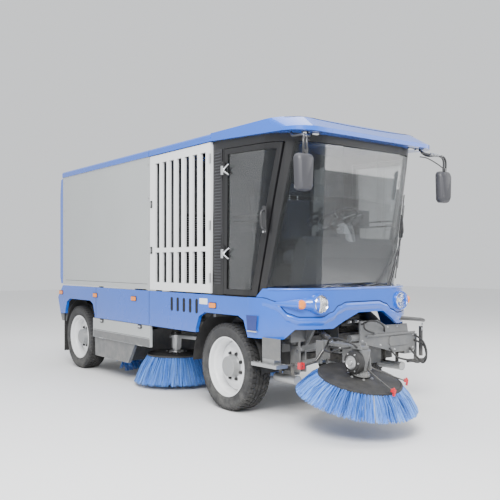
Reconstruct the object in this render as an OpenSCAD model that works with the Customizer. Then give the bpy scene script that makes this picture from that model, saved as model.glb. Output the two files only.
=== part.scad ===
/* [Body] */
// Overall width across the body sides
body_w = 1976; // [1800:2:2400]
// Front axle to rear axle
wheelbase = 3600; // [3400:10:4400]
// Rear axle to the rear edge of the hopper
rear_overhang = 510; // [480:10:900]
// Front axle to the back of the cab
cab_back = 217; // [180:1:300]
// Length of the engine bay behind the cab
bay_len = 1290; // [1150:10:1500]
// Lower edge of the side skirts above the ground
skirt_z = 760; // [700:5:800]
// Seam between the skirts and the upper body
seam_z = 1176; // [1120:2:1260]
// Lower edge of the roof rail above the ground
rail_z = 2776; // [2400:2:3000]
// Height of the roof rail
rail_h = 84; // [60:2:120]
// Rise of the roof above its rail
crown = 40; // [20:2:80]
// Thickness of the body panels
wall = 40; // [25:1:50]
// Running gap round each opening panel
gap = 7; // [6:0.5:12]

/* [Cab] */
// Front of the nose ahead of the front axle
nose_front = 1000; // [900:10:1200]
// Corner radius of the nose in plan
nose_r = 600; // [300:10:700]
// Height of the nose's top edge
nose_z = 1262; // [1220:2:1340]
// Windscreen ahead of the front axle at its foot
screen_foot = 862; // [780:2:960]
// Windscreen ahead of the front axle at its head
screen_head = 1030; // [900:2:1150]
// Corner radius of the screen at its foot
screen_foot_r = 550; // [300:10:600]
// Corner radius of the screen at its head
screen_head_r = 440; // [250:10:550]
// Front pillar ahead of the axle at its foot
pillar_foot = 560; // [480:5:640]
// Front pillar ahead of the axle at its head
pillar_head = 880; // [700:5:980]
// Width of the front pillars
pillar_w = 64; // [40:2:100]
// Front edge of the rear pillar behind the axle
door_back = 24; // [0:2:60]
// Thickness of the doors
door_t = 44; // [30:1:60]
// Thickness of the glass
glass_t = 8; // [5:1:12]
// Reach of the roof's visor ahead of the front axle
visor = 1165; // [1060:5:1300]
// Drop of the visor's lower edge below the rail
visor_drop = 72; // [30:2:120]

/* [Wheels] */
// Outside diameter of the tyres
tyre_d = 892; // [820:2:960]
// Width of the tyres
tyre_w = 260; // [220:5:300]
// Diameter of the rims over their flanges
rim_d = 600; // [560:2:640]
// Tyre's outer face inside the body side
tyre_in = 20; // [0:1:60]
// Kingpin axis from the middle of the truck
kingpin_x = 690; // [670:1:710]

/* [Chassis] */
// Distance between the rails' centres
rail_track = 740; // [700:5:780]
// Width of a chassis rail
rail_w = 80; // [60:2:90]
// Underside of the chassis rails above the ground
rail_low = 640; // [620:5:680]
// Height of a chassis rail
rail_tall = 150; // [120:5:170]

/* [Hopper] */
// Thickness of the rear hatch
hatch_t = 105; // [80:1:140]
// Radius of the bore in the rear towing eye
tow_r = 20.5; // [16:0.5:22]
// Height of the hopper's hinge above the ground
hinge_z = 1158; // [1140:1:1165]
// Radius of the hopper's hinge pins
hinge_r = 20; // [15:1:25]
// Radius of the tipping cylinders
ram_r = 45; // [35:1:55]

/* [Brushes] */
// Diameter of a side brush over its tips
side_d = 1050; // [800:10:1060]
// Side brush centre from the middle of the truck
side_x = 535; // [535:1:600]
// Side brush centre behind the front axle
side_y = 1635; // [1600:5:1700]
// Diameter of the front brush over its tips
front_d = 1100; // [900:10:1200]
// Front brush centre ahead of the front axle
front_y = 1475; // [1400:5:1600]
// Front brush centre to the right of the middle
front_x = 550; // [450:5:600]
// Forward tilt of the front brush
front_tilt = 13; // [5:1:16]
// Diameter of the main roller brush
roller_d = 480; // [400:10:500]
// Length of the main roller brush
roller_len = 1480; // [1200:10:1500]

/* [Hidden] */
$fn = 64;
fit = 0.05;
half_w = body_w / 2;
tyre_r = tyre_d / 2;
rim_r = rim_d / 2;
wheel_x = half_w - tyre_in - tyre_w / 2;
rail_top = rail_low + rail_tall;
rail_x = rail_track / 2;
bay_rear = cab_back + bay_len;
hopper_front = bay_rear + gap;
hopper_rear = wheelbase + rear_overhang;
upper_z = seam_z + 14;
hatch_y = hopper_rear + gap;
hinge_y = hopper_rear - 5;
skirt_tail = 190;
rear_end = hopper_rear + skirt_tail;
bristle_drop = 200;
front_tip_r = front_d / 2;
front_disc_r = front_tip_r * 0.69;
front_z = 494;
front_reach = front_tip_r * cos(front_tilt) - bristle_drop * sin(front_tilt);
front_end = front_y + front_reach;
lamp_proud = 9;
mid_y = (rear_end + lamp_proud - front_end) / 2;

module place() translate([0, -mid_y, 0]) children();

module both() {
  children();
  mirror([1, 0, 0]) children();
}

module side(s) {
  if (s > 0) children();
  else mirror([1, 0, 0]) children();
}

// A bar along X between two places, with its centre at (y, z)
module bar_x(x1, x2, y, z, r) translate([x1, y, z]) rotate([0, 90, 0]) cylinder(r = r, h = x2 - x1);

// A box given by its low and high corners
module block(low, high) translate(low) cube(high - low);

// A side-view outline in Y and Z pushed through X
module side_view(points, x1, x2)
  translate([x1, 0, 0]) rotate([90, 0, 90]) linear_extrude(x2 - x1) polygon(points);

// A front-view outline in X and Z pushed through Y
module front_view(points, y1, y2)
  translate([0, y2, 0]) rotate([90, 0, 0]) linear_extrude(y2 - y1) polygon(points);

// ---- plan outlines of the cab ----
module plan(half, front, r, back, sides = 48) {
  translate([-half, r - front]) square([2 * half, back + front - r]);
  translate([r - half, -front]) square([2 * (half - r), back + front]);
  for (s = [-1, 1]) translate([s * (half - r), r - front]) circle(r, $fn = sides);
}

cab_low = seam_z + 4;
cab_high = rail_z;
module cab_form(inset)
  hull() {
    translate([0, 0, cab_low])
      linear_extrude(1) plan(half_w - 14 - inset, screen_foot - inset, screen_foot_r - inset, cab_back);
    translate([0, 0, cab_high - 1])
      linear_extrude(1) plan(half_w - 30 - inset, screen_head - inset, screen_head_r - inset, cab_back);
  }

module cab_shell(outer, inner)
  difference() {
    cab_form(outer);
    translate([0, 1, 0]) cab_form(inner);
  }

// The front pillar's centre line in side view
screen_low = nose_z + 6;
function pillar_y(z) = -pillar_foot - (pillar_head - pillar_foot) * (z - nose_z) / (rail_z - 60 - nose_z);
// Bedding gap between the roof and the frame that it sits on
roof_seat = 0.02;
function under_roof(y) = rail_z - visor_drop * (cab_back - y) / (cab_back + visor);
head_z = rail_z - visor_drop - 72;

// ---- chassis and axles ----
ram_base_y = hopper_front + 240;
ram_base_z = rail_top + 72;
ram_eye_y = hopper_front + 1400;
ram_eye_z = upper_z - 52;
ram_run = sqrt(pow(ram_eye_y - ram_base_y, 2) + pow(ram_eye_z - ram_base_z, 2));
ram_tilt = atan2(ram_eye_z - ram_base_z, ram_eye_y - ram_base_y);
arm_y = side_y - 590;
arm_x = side_x - 115;
arm_z = rail_low - 65;
rail_front = nose_front - 360;
rail_rear = hopper_rear - 20;

bearer_top = rail_top + 20;
module chassis() place() color("dimgray") {
  both() {
    block([rail_x - rail_w / 2, -rail_front, rail_low], [rail_x + rail_w / 2, rail_rear, rail_top]);
    // hopper hinge plate with its pin
    side_view([[rail_rear - 130, rail_top], [rail_rear, rail_top], [hinge_y + 28, hinge_z],
      [hinge_y, hinge_z + 26], [hinge_y - 28, hinge_z]], rail_x - 10, rail_x + 10);
    bar_x(rail_x - 38, rail_x + 38, hinge_y, hinge_z, hinge_r);
    // tipping cylinder bracket with its pin
    for (x = [rail_x - 37, rail_x + 25])
      block([x, ram_base_y - 45, rail_top], [x + 12, ram_base_y + 45, ram_base_z + 35]);
    bar_x(rail_x - 40, rail_x + 40, ram_base_y, ram_base_z, 18);
    // pin of the side brush arm
    block([rail_x + rail_w / 2, arm_y - 60, rail_low], [arm_x + 70, arm_y + 60, rail_low + 40]);
    translate([arm_x, arm_y, arm_z - 8]) cylinder(r = 22, h = rail_low - arm_z + 8);
    // cab mounts
    for (y = [-560, 60])
      block([rail_x - 40, y, rail_top], [rail_x + 40, y + 100, cab_low - 40]);
  }
  // engine bearers
  for (y = [cab_back + 200, bay_rear - 300])
    block([-rail_x, y, rail_top], [rail_x, y + 60, bearer_top]);
  for (y = [-rail_front, 420, arm_y - 60, ram_base_y - 40, 3150, rail_rear - 80])
    block([-rail_x + rail_w / 2, y, rail_low + 15], [rail_x - rail_w / 2, y + 80, rail_top - 15]);
}

module engine() place() color("darkslategray")
  block([-300, cab_back + 130, bearer_top], [300, bay_rear - 160, rail_top + 720]);

beam_z = tyre_r;
module leaf_springs(y) both() {
  block([rail_x - 35, y - 480, beam_z + 55], [rail_x + 35, y + 480, beam_z + 100]);
  for (e = [-480, 420])
    block([rail_x - 30, y + e, beam_z + 100], [rail_x + 30, y + e + 60, rail_low]);
}

module front_axle() place() color("dimgray") difference() {
  union() {
    block([-645, -50, beam_z - 55], [645, 50, beam_z + 55]);
    both() translate([kingpin_x, 0, beam_z - 46]) cylinder(r = 50, h = 92);
    leaf_springs(0);
  }
  both() translate([kingpin_x, 0, beam_z - 60]) cylinder(r = 28 + fit, h = 120);
}

module rear_axle() place() color("dimgray") {
  bar_x(-wheel_x + 75, wheel_x - 75, wheelbase, beam_z, 62);
  both() bar_x(wheel_x - 76, wheel_x + 40, wheelbase, beam_z, 35);
  bar_x(-150, 150, wheelbase, beam_z, 175);
  difference() {
    leaf_springs(wheelbase);
    bar_x(-150, 150, wheelbase, beam_z, 180);
  }
}

// ---- wheels: the outer side of the wheel faces +X ----
module tyre_form() rotate([0, 90, 0]) rotate_extrude($fn = 96) polygon([
  [rim_r, -tyre_w / 2 + 30], [rim_r + 30, -tyre_w / 2 + 4], [tyre_r - 50, -tyre_w / 2],
  [tyre_r - 14, -tyre_w / 2 + 10], [tyre_r, -tyre_w / 2 + 32], [tyre_r, tyre_w / 2 - 32],
  [tyre_r - 14, tyre_w / 2 - 10], [tyre_r - 50, tyre_w / 2], [rim_r + 30, tyre_w / 2 - 4],
  [rim_r, tyre_w / 2 - 30]]);

rim_half = tyre_w / 2 - 30;
module rim_form() rotate([0, 90, 0]) {
  difference() {
    rotate_extrude($fn = 96) polygon([
      [rim_r - 20, -rim_half - 12], [rim_r - 2, -rim_half - 12], [rim_r - 2, -rim_half],
      [rim_r, -rim_half], [rim_r, rim_half], [rim_r - 2, rim_half], [rim_r - 2, rim_half + 12],
      [rim_r - 20, rim_half + 12], [rim_r - 24, 20], [105, 20], [105, 82], [90, 96],
      [0, 96], [0, -50], [105, -50], [105, 4], [rim_r - 24, 4]]);
    translate([0, 0, -60]) cylinder(r = 35 + fit, h = 105);
  }
}

module wheel_at(x, y, s) place() translate([s * x, y, tyre_r]) side(s) children();
module tyre_front_left() color("dimgray") wheel_at(wheel_x, 0, 1) tyre_form();
module tyre_front_right() color("dimgray") wheel_at(wheel_x, 0, -1) tyre_form();
module tyre_rear_left() color("dimgray") wheel_at(wheel_x, wheelbase, 1) tyre_form();
module tyre_rear_right() color("dimgray") wheel_at(wheel_x, wheelbase, -1) tyre_form();
module rim_front_left() color("gainsboro") wheel_at(wheel_x, 0, 1) rim_form();
module rim_front_right() color("gainsboro") wheel_at(wheel_x, 0, -1) rim_form();
module rim_rear_left() color("gainsboro") wheel_at(wheel_x, wheelbase, 1) rim_form();
module rim_rear_right() color("gainsboro") wheel_at(wheel_x, wheelbase, -1) rim_form();

module knuckle(s) place() color("gray") side(s) {
  translate([kingpin_x, 0, beam_z - 105]) cylinder(r = 28, h = 210);
  for (z = [beam_z - 100, beam_z + 58])
    block([kingpin_x - 40, -42, z], [wheel_x - 60, 42, z + 42]);
  block([kingpin_x + 60, -42, beam_z - 100], [wheel_x - 60, 42, beam_z + 100]);
  bar_x(wheel_x - 61, wheel_x + 40, 0, beam_z, 35);
  // steering arm
  block([kingpin_x - 36, 40, beam_z - 98], [kingpin_x + 4, 190, beam_z - 70]);
}
module knuckle_left() knuckle(1);
module knuckle_right() knuckle(-1);

// ---- cab ----
inner_w = half_w - 14 - door_t - 20;
module cab_floor() place() color("dimgray") {
  // floor, inside the nose and between the doors
  difference() {
    translate([0, 0, cab_low - 40]) linear_extrude(40)
      plan(inner_w, screen_foot - 60, screen_foot_r - 60, cab_back);
    block([-inner_w - 1, -2000, cab_low - 41], [inner_w + 1, -nose_front + 60, cab_low + 1]);
  }
  intersection() {
    cab_form(door_t);
    side_view([[cab_back - 40, cab_low], [cab_back, cab_low], [cab_back, under_roof(cab_back)],
      [cab_back - 40, under_roof(cab_back - 40)]], -half_w, half_w);
  }
}

pillar_band = [[pillar_y(cab_low) - pillar_w / 2, cab_low], [pillar_y(cab_low) + pillar_w / 2, cab_low],
  [pillar_y(rail_z) + pillar_w / 2, rail_z], [pillar_y(rail_z) - pillar_w / 2, rail_z]];
header = [[-visor - 50, head_z], [cab_back, head_z + 50], [cab_back, under_roof(cab_back)],
  [-visor - 50, under_roof(-visor - 50)]];
wedge_under = [[-visor - 50, cab_low - 100], [cab_back + 50, cab_low - 100],
  [cab_back + 50, under_roof(cab_back + 50)], [-visor - 50, under_roof(-visor - 50)]];

module cab_frame() place() color("black") intersection() {
  cab_shell(2, door_t);
  side_view(wedge_under, -half_w, half_w);
  union() {
    side_view(pillar_band, -half_w, half_w);
    side_view(header, -half_w, half_w);
    for (s = [-1, 1]) translate([s * (half_w - 100) - 100, 0, 0])
      block([0, door_back, cab_low], [200, cab_back, rail_z]);
  }
}

module windscreen() place() color("slategray", 0.5) intersection() {
  cab_shell(8, 8 + glass_t);
  side_view([[-visor, screen_low], [pillar_y(screen_low) - pillar_w / 2, screen_low],
    [pillar_y(head_z) - pillar_w / 2, head_z], [-visor, head_z]], -half_w, half_w);
}

door_swing = 9;
function door_edge(z, d) = pillar_y(z) + pillar_w / 2 + door_swing + d;
function header_z(y) = head_z + 50 * (y + visor + 50) / (cab_back + visor + 50);
module door_side(d, low) side_view([
  [door_edge(cab_low, d), low], [door_back - d, low], [door_back - d, header_z(door_back) - d],
  [door_edge(head_z, d), header_z(door_edge(head_z, d)) - d]], 0, half_w);
door_frame = 46;

door_pin_x = half_w - 9.5;
door_pin_y = door_back - gap / 2;
module door(s) place() color("black") side(s) {
  // hinges on the rear edge
  for (z = [1600, rail_z - 326]) {
    translate([door_pin_x, door_pin_y, z]) cylinder(r = 6, h = 90);
    block([door_pin_x - 34, door_pin_y - 30, z + 10], [door_pin_x, door_pin_y - 4, z + 80]);
  }
  difference() {
    intersection() {
      cab_shell(0, door_t);
      door_side(gap, cab_low + gap);
    }
    intersection() {
      cab_shell(8, 9 + glass_t);
      door_side(gap + door_frame, cab_low + gap + door_frame);
    }
    intersection() {
      cab_shell(-5, door_t + 5);
      door_side(gap + door_frame + 10, cab_low + gap + door_frame + 10);
    }
  }
}
module door_left() door(1);
module door_right() door(-1);

module door_glass(s) place() color("slategray", 0.5) side(s) intersection() {
  cab_shell(8.5, 8.5 + glass_t);
  door_side(gap + door_frame + 0.5, cab_low + gap + door_frame + 0.5);
}
module door_glass_left() door_glass(1);
module door_glass_right() door_glass(-1);

module cab_roof() place() color("royalblue") difference() {
  hull() {
    translate([0, 0, rail_z - visor_drop]) linear_extrude(rail_h / 2)
      plan(half_w + 12, visor, 240, cab_back);
    translate([0, 0, rail_z + rail_h - 20]) linear_extrude(20)
      plan(half_w + 4, visor - 180, 300, cab_back);
    translate([0, 0, rail_z + rail_h + crown - 1]) linear_extrude(1)
      plan(half_w - 260, visor - 560, 300, cab_back);
  }
  side_view([[-visor - 60, rail_z - 400], [cab_back + 10, rail_z - 400],
    [cab_back + 10, under_roof(cab_back + 10) + roof_seat],
    [-visor - 60, under_roof(-visor - 60) + roof_seat]], -half_w - 50, half_w + 50);
}

// ---- nose, bumper and lamps ----
module nose_shell(t) difference() {
  linear_extrude(nose_z) plan(half_w, nose_front, nose_r, 0, 240);
  translate([0, 0, -1]) linear_extrude(nose_z + 2)
    plan(half_w - t, nose_front - t, nose_r - t, 1, 240);
}

// Seam between the nose panel and the bumper, from the middle outwards
seam_pts = [[0, 1128], [230, 1128], [330, 1100], [430, 1035], [540, 996], [740, 998], [820, 1030],
  [900, 1145], [960, seam_z + 4], [half_w + 20, seam_z + 4]];
low_right = [[-half_w - 20, 786], [-850, 786], [-775, 880], [-410, 880], [-250, 950], [-60, 1020]];
low_left = [[300, 1020], [430, 940], [530, 880], [775, 880], [850, 786], [half_w + 20, 786]];

function flip(p) = [for (i = [len(p) - 1:-1:0]) [-p[i][0], p[i][1]]];

module nose_panel() place() color("royalblue") {
  intersection() {
    nose_shell(wall);
    front_view(concat([[half_w + 20, nose_z + 1], [-half_w - 20, nose_z + 1]], flip(seam_pts),
      [for (i = [1:len(seam_pts) - 1]) seam_pts[i]]), -nose_front - 10, 0);
    side_view([[-nose_front - 10, 900], [-pillar_foot + 36, 900], [-pillar_foot + 36, seam_z + 4],
      [-pillar_foot - 40, nose_z], [-nose_front - 10, nose_z]], -half_w, half_w);
  }
  // deck between the nose and the foot of the screen
  difference() {
    translate([0, 0, nose_z - 30]) linear_extrude(30)
      plan(half_w - wall, nose_front - wall, nose_r - wall, 0, 240);
    cab_form(-4);
    block([-half_w, -pillar_foot - 60, 0], [half_w, 100, nose_z + 10]);
  }
}

module bumper() place() color("royalblue") {
  intersection() {
    nose_shell(wall);
    front_view(concat(low_right, low_left, [for (i = [len(seam_pts) - 1:-1:1])
      [seam_pts[i][0], seam_pts[i][1] - 6]], [for (i = [1:len(seam_pts) - 1])
      [-seam_pts[i][0], seam_pts[i][1] - 6]]), -nose_front - 10, skirt_front);
  }
}

lamp_z = 1118;
lamp_x = 575;
lamp_y = nose_r - nose_front - sqrt(pow(nose_r, 2) - pow(lamp_x - half_w + nose_r, 2));
flash_x = 752;
flash_y = nose_r - nose_front - sqrt(pow(nose_r, 2) - pow(flash_x - half_w + nose_r, 2));
module lamps() place() color("orange") both() {
  difference() {
    union() {
      translate([lamp_x, lamp_y + 1, lamp_z]) rotate([90, 0, 18]) translate([0, 0, -45])
        cylinder(r = 68, h = 100);
      translate([flash_x, flash_y + 1, lamp_z]) rotate([90, 0, 34]) translate([0, 0, -45])
        cylinder(r = 40, h = 95);
    }
    linear_extrude(nose_z) plan(half_w, nose_front, nose_r, 0, 240);
  }
  for (x = [half_w - 330, half_w - 220])
    translate([x, rear_end, 870]) rotate([-90, 0, 0]) cylinder(r = 45, h = lamp_proud);
}

// Nothing fixed may stand inside this circle round each kingpin
sweep_r = sqrt(pow(wheel_x + tyre_w / 2 - kingpin_x, 2) + pow(tyre_r, 2)) + 14;
module steer_room() both() translate([kingpin_x, 0, 0]) cylinder(r = sweep_r, h = tyre_d + 60, $fn = 240);

step_z = 520;
module steps() place() color("gray") difference() {
  both() {
    block([half_w - 150, -830, step_z], [half_w - 8, -430, step_z + 34]);
    block([half_w - 140, -740, step_z + 34], [half_w - 60, -560, 786]);
  }
  steer_room();
}

// ---- front frame and the third brush ----
post_x = -(front_x + 50);
post_y = -660;
link_len = 310;
link_tilt = 15;
pin_y = post_y - 84;
low_pin_z = 530;
high_pin_z = 670;
head_y = pin_y - link_len * cos(link_tilt);
link_rise = link_len * sin(link_tilt);
post_low = 455;
post_high = 705;

lift_x = post_x + 112;
lift_top = [-840, 884];
lift_foot = [head_y - 112, high_pin_z + link_rise - 42];
hang_x = -rail_x - rail_w / 2;

hang_y = post_y + 120;
tube_y = -nose_front + 126;
tube_z = rail_top - 40;
module front_subframe() place() color("gray") {
  // post bearings, reaching back past the arm's swing and over to the right rail
  for (z = [post_low - 36, post_high + 6])
    difference() {
      union() {
        translate([post_x, post_y, z]) cylinder(r = 50, h = 30);
        block([post_x - 50, post_y, z], [post_x + 50, hang_y, z + 30]);
        block([post_x - 50, hang_y - 50, z], [hang_x - 10, hang_y, z + 30]);
      }
      translate([post_x, post_y, z - 1]) cylinder(r = 25 + fit, h = 32);
    }
  block([hang_x - 20, hang_y - 50, post_low - 36], [hang_x, hang_y + 40, rail_top - 20]);
  // left arm, cross tube and front sheet
  block([rail_x - 30, tube_y, tube_z - 50], [rail_x + 30, -rail_front, tube_z + 30]);
  bar_x(-60, half_w - 170, tube_y, tube_z, 34);
  front_view([[40, 700], [300, 640], [560, 570], [half_w - 100, 570], [half_w - 100, 770], [780, 770],
    [760, 862], [420, 862], [300, 920], [40, 920]], tube_y - 54, tube_y - 34);
}

module front_post() place() color("gray") difference() {
  union() {
    translate([post_x, post_y, post_low - 40]) cylinder(r = 25, h = post_high - post_low + 80);
    translate([post_x, post_y, post_low]) cylinder(r = 45, h = post_high - post_low);
    for (x = [post_x - 46, post_x + 28])
      block([x, pin_y - 34, post_low], [x + 18, post_y, post_high]);
    // upright of the lift cylinder
    side_view([[post_y - 10, post_high - 60], [pin_y - 34, post_high - 60], [pin_y - 34, post_high + 20],
      [lift_top[0] - 34, lift_top[1] - 20], [lift_top[0] - 20, lift_top[1] + 30],
      [lift_top[0] + 30, lift_top[1] + 30], [post_y - 66, post_high + 60], [post_y - 66, post_high]],
      post_x + 46, lift_x - 34);
    block([post_x - 150, pin_y - 30, post_high + 45], [post_x + 60, pin_y - 12, post_high + 190]);
    block([post_x - 46, pin_y - 30, post_high - 20], [post_x - 28, pin_y - 12, post_high + 60]);
  }
  bar_x(post_x - 60, post_x + 60, pin_y, low_pin_z, 16 + fit);
  bar_x(post_x - 60, post_x + 60, pin_y, high_pin_z, 16 + fit);
  bar_x(post_x + 40, lift_x - 20, lift_top[0], lift_top[1], 12 + fit);
}

module link(z) {
  difference() {
    union() {
      for (e = [0, 1]) bar_x(post_x - 22, post_x + 22, pin_y + e * (head_y - pin_y), z + e * link_rise, 30);
      translate([post_x - 18, pin_y, z]) rotate([-link_tilt, 0, 0])
        translate([0, -link_len, -24]) cube([36, link_len, 48]);
    }
    bar_x(post_x - 60, post_x + 60, head_y, z + link_rise, 14 + fit);
  }
  bar_x(post_x - 50, post_x + 50, pin_y, z, 16);
}
module front_lower_link() place() color("silver") link(low_pin_z);
module front_upper_link() place() color("silver") link(high_pin_z);

module front_frame() translate([-front_x, -front_y, front_z]) rotate([front_tilt, 0, 0]) children();

module front_head() place() color("gray") {
  for (x = [post_x - 46, post_x + 28])
    block([x, head_y - 34, low_pin_z + link_rise - 36], [x + 18, head_y + 34, high_pin_z + link_rise + 36]);
  bar_x(post_x - 48, post_x + 48, head_y, low_pin_z + link_rise, 14);
  block([post_x - 46, head_y - 60, low_pin_z + link_rise + 8],
    [post_x + 46, head_y - 36, high_pin_z + link_rise + 36]);
  for (x = [post_x - 46, post_x + 28])
    block([x, head_y - 37, low_pin_z + link_rise + 8], [x + 18, head_y - 33, high_pin_z + link_rise + 36]);
  block([-front_x - 60, -front_y - 70, high_pin_z + link_rise - 2],
    [-front_x + 36, head_y - 58, high_pin_z + link_rise + 24]);
  // ears for the lift cylinder's foot, open where the linkage is opened
  for (x = [lift_x - 30, lift_x + 20])
    block([x, lift_foot[0] - 24, lift_foot[1] - 38], [x + 10, head_y - 58, high_pin_z + link_rise + 24]);
  block([lift_x - 30, lift_foot[0] - 24, lift_foot[1] - 38], [lift_x + 30, lift_foot[0] + 24, lift_foot[1] - 28]);
  difference() {
    front_frame() translate([0, 0, 60]) cylinder(r = 50, h = 200);
    front_frame() translate([0, 0, 50]) cylinder(r = 16 + fit, h = 60);
  }
}

module brush_form(tip_r, disc_r, drop) {
  cylinder(r = 40, h = 54);
  cylinder(r = 16, h = 95);
  cylinder(r = disc_r, h = 22);
  translate([0, 0, -drop]) difference() {
    cylinder(r1 = tip_r, r2 = disc_r, h = drop);
    translate([0, 0, -1]) cylinder(r1 = tip_r - 150, r2 = disc_r - 120, h = drop - 20);
  }
}

module front_brush() place() color("cornflowerblue") front_frame()
  brush_form(front_tip_r, front_disc_r, bristle_drop);

lift_run = sqrt(pow(lift_top[0] - lift_foot[0], 2) + pow(lift_top[1] - lift_foot[1], 2));
lift_tilt = atan2(lift_top[1] - lift_foot[1], lift_top[0] - lift_foot[0]);
module lift_frame() translate([lift_x, lift_top[0], lift_top[1]]) rotate([lift_tilt, 0, 0]) children();
module lift_barrel() place() color("black") lift_frame() {
  bar_x(-60, 14, 0, 0, 12);
  bar_x(-13, 14, 0, 0, 24);
  difference() {
    translate([0, -16, 0]) rotate([90, 0, 0]) cylinder(r = 28, h = lift_run - 140);
    translate([0, -60, 0]) rotate([90, 0, 0]) cylinder(r = 14 + fit, h = lift_run);
  }
}
module lift_rod() place() color("silver") lift_frame() {
  translate([0, -70, 0]) rotate([90, 0, 0]) cylinder(r = 14, h = lift_run - 88);
  bar_x(-13, 13, -lift_run, 0, 20);
}

// ---- side brushes and the main roller ----
side_z = 390;
side_tip_r = side_d / 2;
side_disc_r = side_tip_r * 0.69;
side_drop = side_z - 40;
module side_arm(s) place() color("silver") side(s) difference() {
  union() {
    translate([arm_x, arm_y, arm_z]) cylinder(r = 52, h = 55);
    translate([side_x, side_y, arm_z]) cylinder(r = 85, h = 40);
    translate([arm_x, arm_y, arm_z]) rotate([0, 0, atan2(side_y - arm_y, side_x - arm_x)])
      translate([0, -38, 0]) cube([590, 76, 40]);
    translate([side_x, side_y, side_z + 60]) cylinder(r = 62, h = arm_z - side_z - 60);
  }
  translate([arm_x, arm_y, arm_z - 1]) cylinder(r = 22 + fit, h = 60);
  translate([side_x, side_y, side_z + 59]) cylinder(r = 16 + fit, h = 60);
}
module side_arm_left() side_arm(1);
module side_arm_right() side_arm(-1);
module side_brush(s) place() color("cornflowerblue") side(s)
  translate([side_x, side_y, side_z]) brush_form(side_tip_r, side_disc_r, side_drop);
module side_brush_left() side_brush(1);
module side_brush_right() side_brush(-1);

roller_y = 2640;
roller_z = roller_d / 2 + 50;
house_front = roller_y - roller_d / 2 - 60;
house_rear = roller_y + roller_d / 2 + 60;
cover_front = hopper_front - 10;
cover_rear = 3080;
crease_z = 490;
module roller_housing() place() color("darkgray") {
  difference() {
    block([-roller_len / 2 - 40, house_front, 230], [roller_len / 2 + 40, house_rear, rail_low - 20]);
    block([-roller_len / 2 - 16, house_front + 20, 200], [roller_len / 2 + 16, house_rear - 20, rail_low - 40]);
    bar_x(-roller_len, roller_len, roller_y, roller_z, 30 + fit);
  }
  both() {
    side_view([[1930, crease_z], [cover_rear, crease_z], [cover_rear - 20, 240], [2110, 240]],
      half_w - 70, half_w - 30);
    for (y = [house_front + 40, house_rear - 120])
      block([rail_x - 30, y, rail_low - 20], [rail_x + 30, y + 80, rail_low]);
    block([roller_len / 2 + 40, house_front + 40, 300], [half_w - 70, house_front + 100, 420]);
    block([roller_len / 2 + 40, house_rear - 100, 300], [half_w - 70, house_rear - 40, 420]);
  }
}

module roller_brush() place() color("cornflowerblue") {
  bar_x(-roller_len / 2, roller_len / 2, roller_y, roller_z, roller_d / 2);
  bar_x(-roller_len / 2 - 38, roller_len / 2 + 38, roller_y, roller_z, 30);
}

module roller_cover(s) place() color("lightgray") side(s) {
  block([half_w - 34, cover_front, crease_z + gap], [half_w - 4, cover_rear, skirt_z - gap]);
  // hinges on the lower edge
  for (y = [cover_front + 200, cover_rear - 300])
    translate([half_w - 4, y, crease_z + gap]) rotate([-90, 0, 0]) cylinder(r = 5, h = 100);
}
module roller_cover_left() roller_cover(1);
module roller_cover_right() roller_cover(-1);

// ---- skirts, engine bay and rear ----
arch_top = 985;
module arch(y1, y2, low) side_view([[y1, low - 10], [y1, low + 60], [y1 + 60, arch_top - 40],
  [y1 + 150, arch_top], [y2 - 170, arch_top], [y2 - 60, arch_top - 50], [y2, low + 60],
  [y2, low - 10]], 0, half_w + 10);

skirt_front = -pillar_foot + 144;
module side_skirts() place() color("royalblue") both() difference() {
  side_view([[skirt_front, 786], [skirt_front, seam_z - 2], [hopper_rear + 8, seam_z - 2],
    [rear_end, 990], [rear_end - 100, 745], [rear_end - 130, skirt_z], [600, skirt_z]],
    half_w - wall, half_w);
  arch(-404, 510, skirt_z - 20);
  arch(wheelbase - 580, wheelbase + 430, skirt_z - 20);
}

post_foot = tyre_d + 48;
module bay_frame() place() color("dimgray") {
  block([-half_w + 70, bay_rear - 30, upper_z], [half_w - 70, bay_rear - 2, rail_z]);
  // front posts on a bar above the front wheels
  both() block([half_w - 110, cab_back + 2, post_foot], [half_w - 60, cab_back + 40, rail_z]);
  block([-half_w + 60, cab_back + 2, post_foot], [half_w - 60, cab_back + 40, post_foot + 60]);
  both() block([rail_x - 40, cab_back + 2, rail_top], [rail_x + 30, cab_back + 40, post_foot]);
  both() block([rail_x - 40, bay_rear - 90, rail_top], [half_w - wall, bay_rear - 30, rail_top + 60]);
  both() block([half_w - 120, bay_rear - 90, rail_top + 60], [half_w - 70, bay_rear - 30, upper_z + 60]);
}

roof_half = half_w + 12;
roof_section = [[-roof_half, 0], [-roof_half, rail_h - 24], [-roof_half + 10, rail_h - 8],
  [-roof_half + 110, rail_h + 6], [-half_w + 300, rail_h + crown - 8], [0, rail_h + crown],
  [half_w - 300, rail_h + crown - 8], [roof_half - 110, rail_h + 6], [roof_half - 10, rail_h - 8],
  [roof_half, rail_h - 24], [roof_half, 0]];
module roof(y1, y2) translate([0, 0, rail_z]) front_view(roof_section, y1, y2);

module bay_roof() place() color("royalblue") roof(cab_back + 1, bay_rear - 1);

louvre_front = cab_back + 12;
louvre_count = 7;
louvre_pin = 5;
module louvre_door(s) place() color("whitesmoke") side(s) difference() {
  union() {
    block([half_w - 36, louvre_front, upper_z], [half_w, bay_rear - gap, rail_z - gap]);
    // hinges on the front edge
    for (z = [upper_z + 150, rail_z - 330]) {
      translate([half_w + 6, louvre_front, z]) cylinder(r = louvre_pin, h = 90);
      block([half_w - 1, louvre_front, z], [half_w + 6, louvre_front + 30, z + 90]);
    }
  }
  for (i = [0:louvre_count - 1], j = [0, 1])
    block([half_w - 37, louvre_front + 90 + i * 160, upper_z + 90 + j * 400],
      [half_w + 1, louvre_front + 190 + i * 160, j == 0 ? upper_z + 440 : rail_z - 100]);
}
module louvre_door_left() louvre_door(1);
module louvre_door_right() louvre_door(-1);

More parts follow.
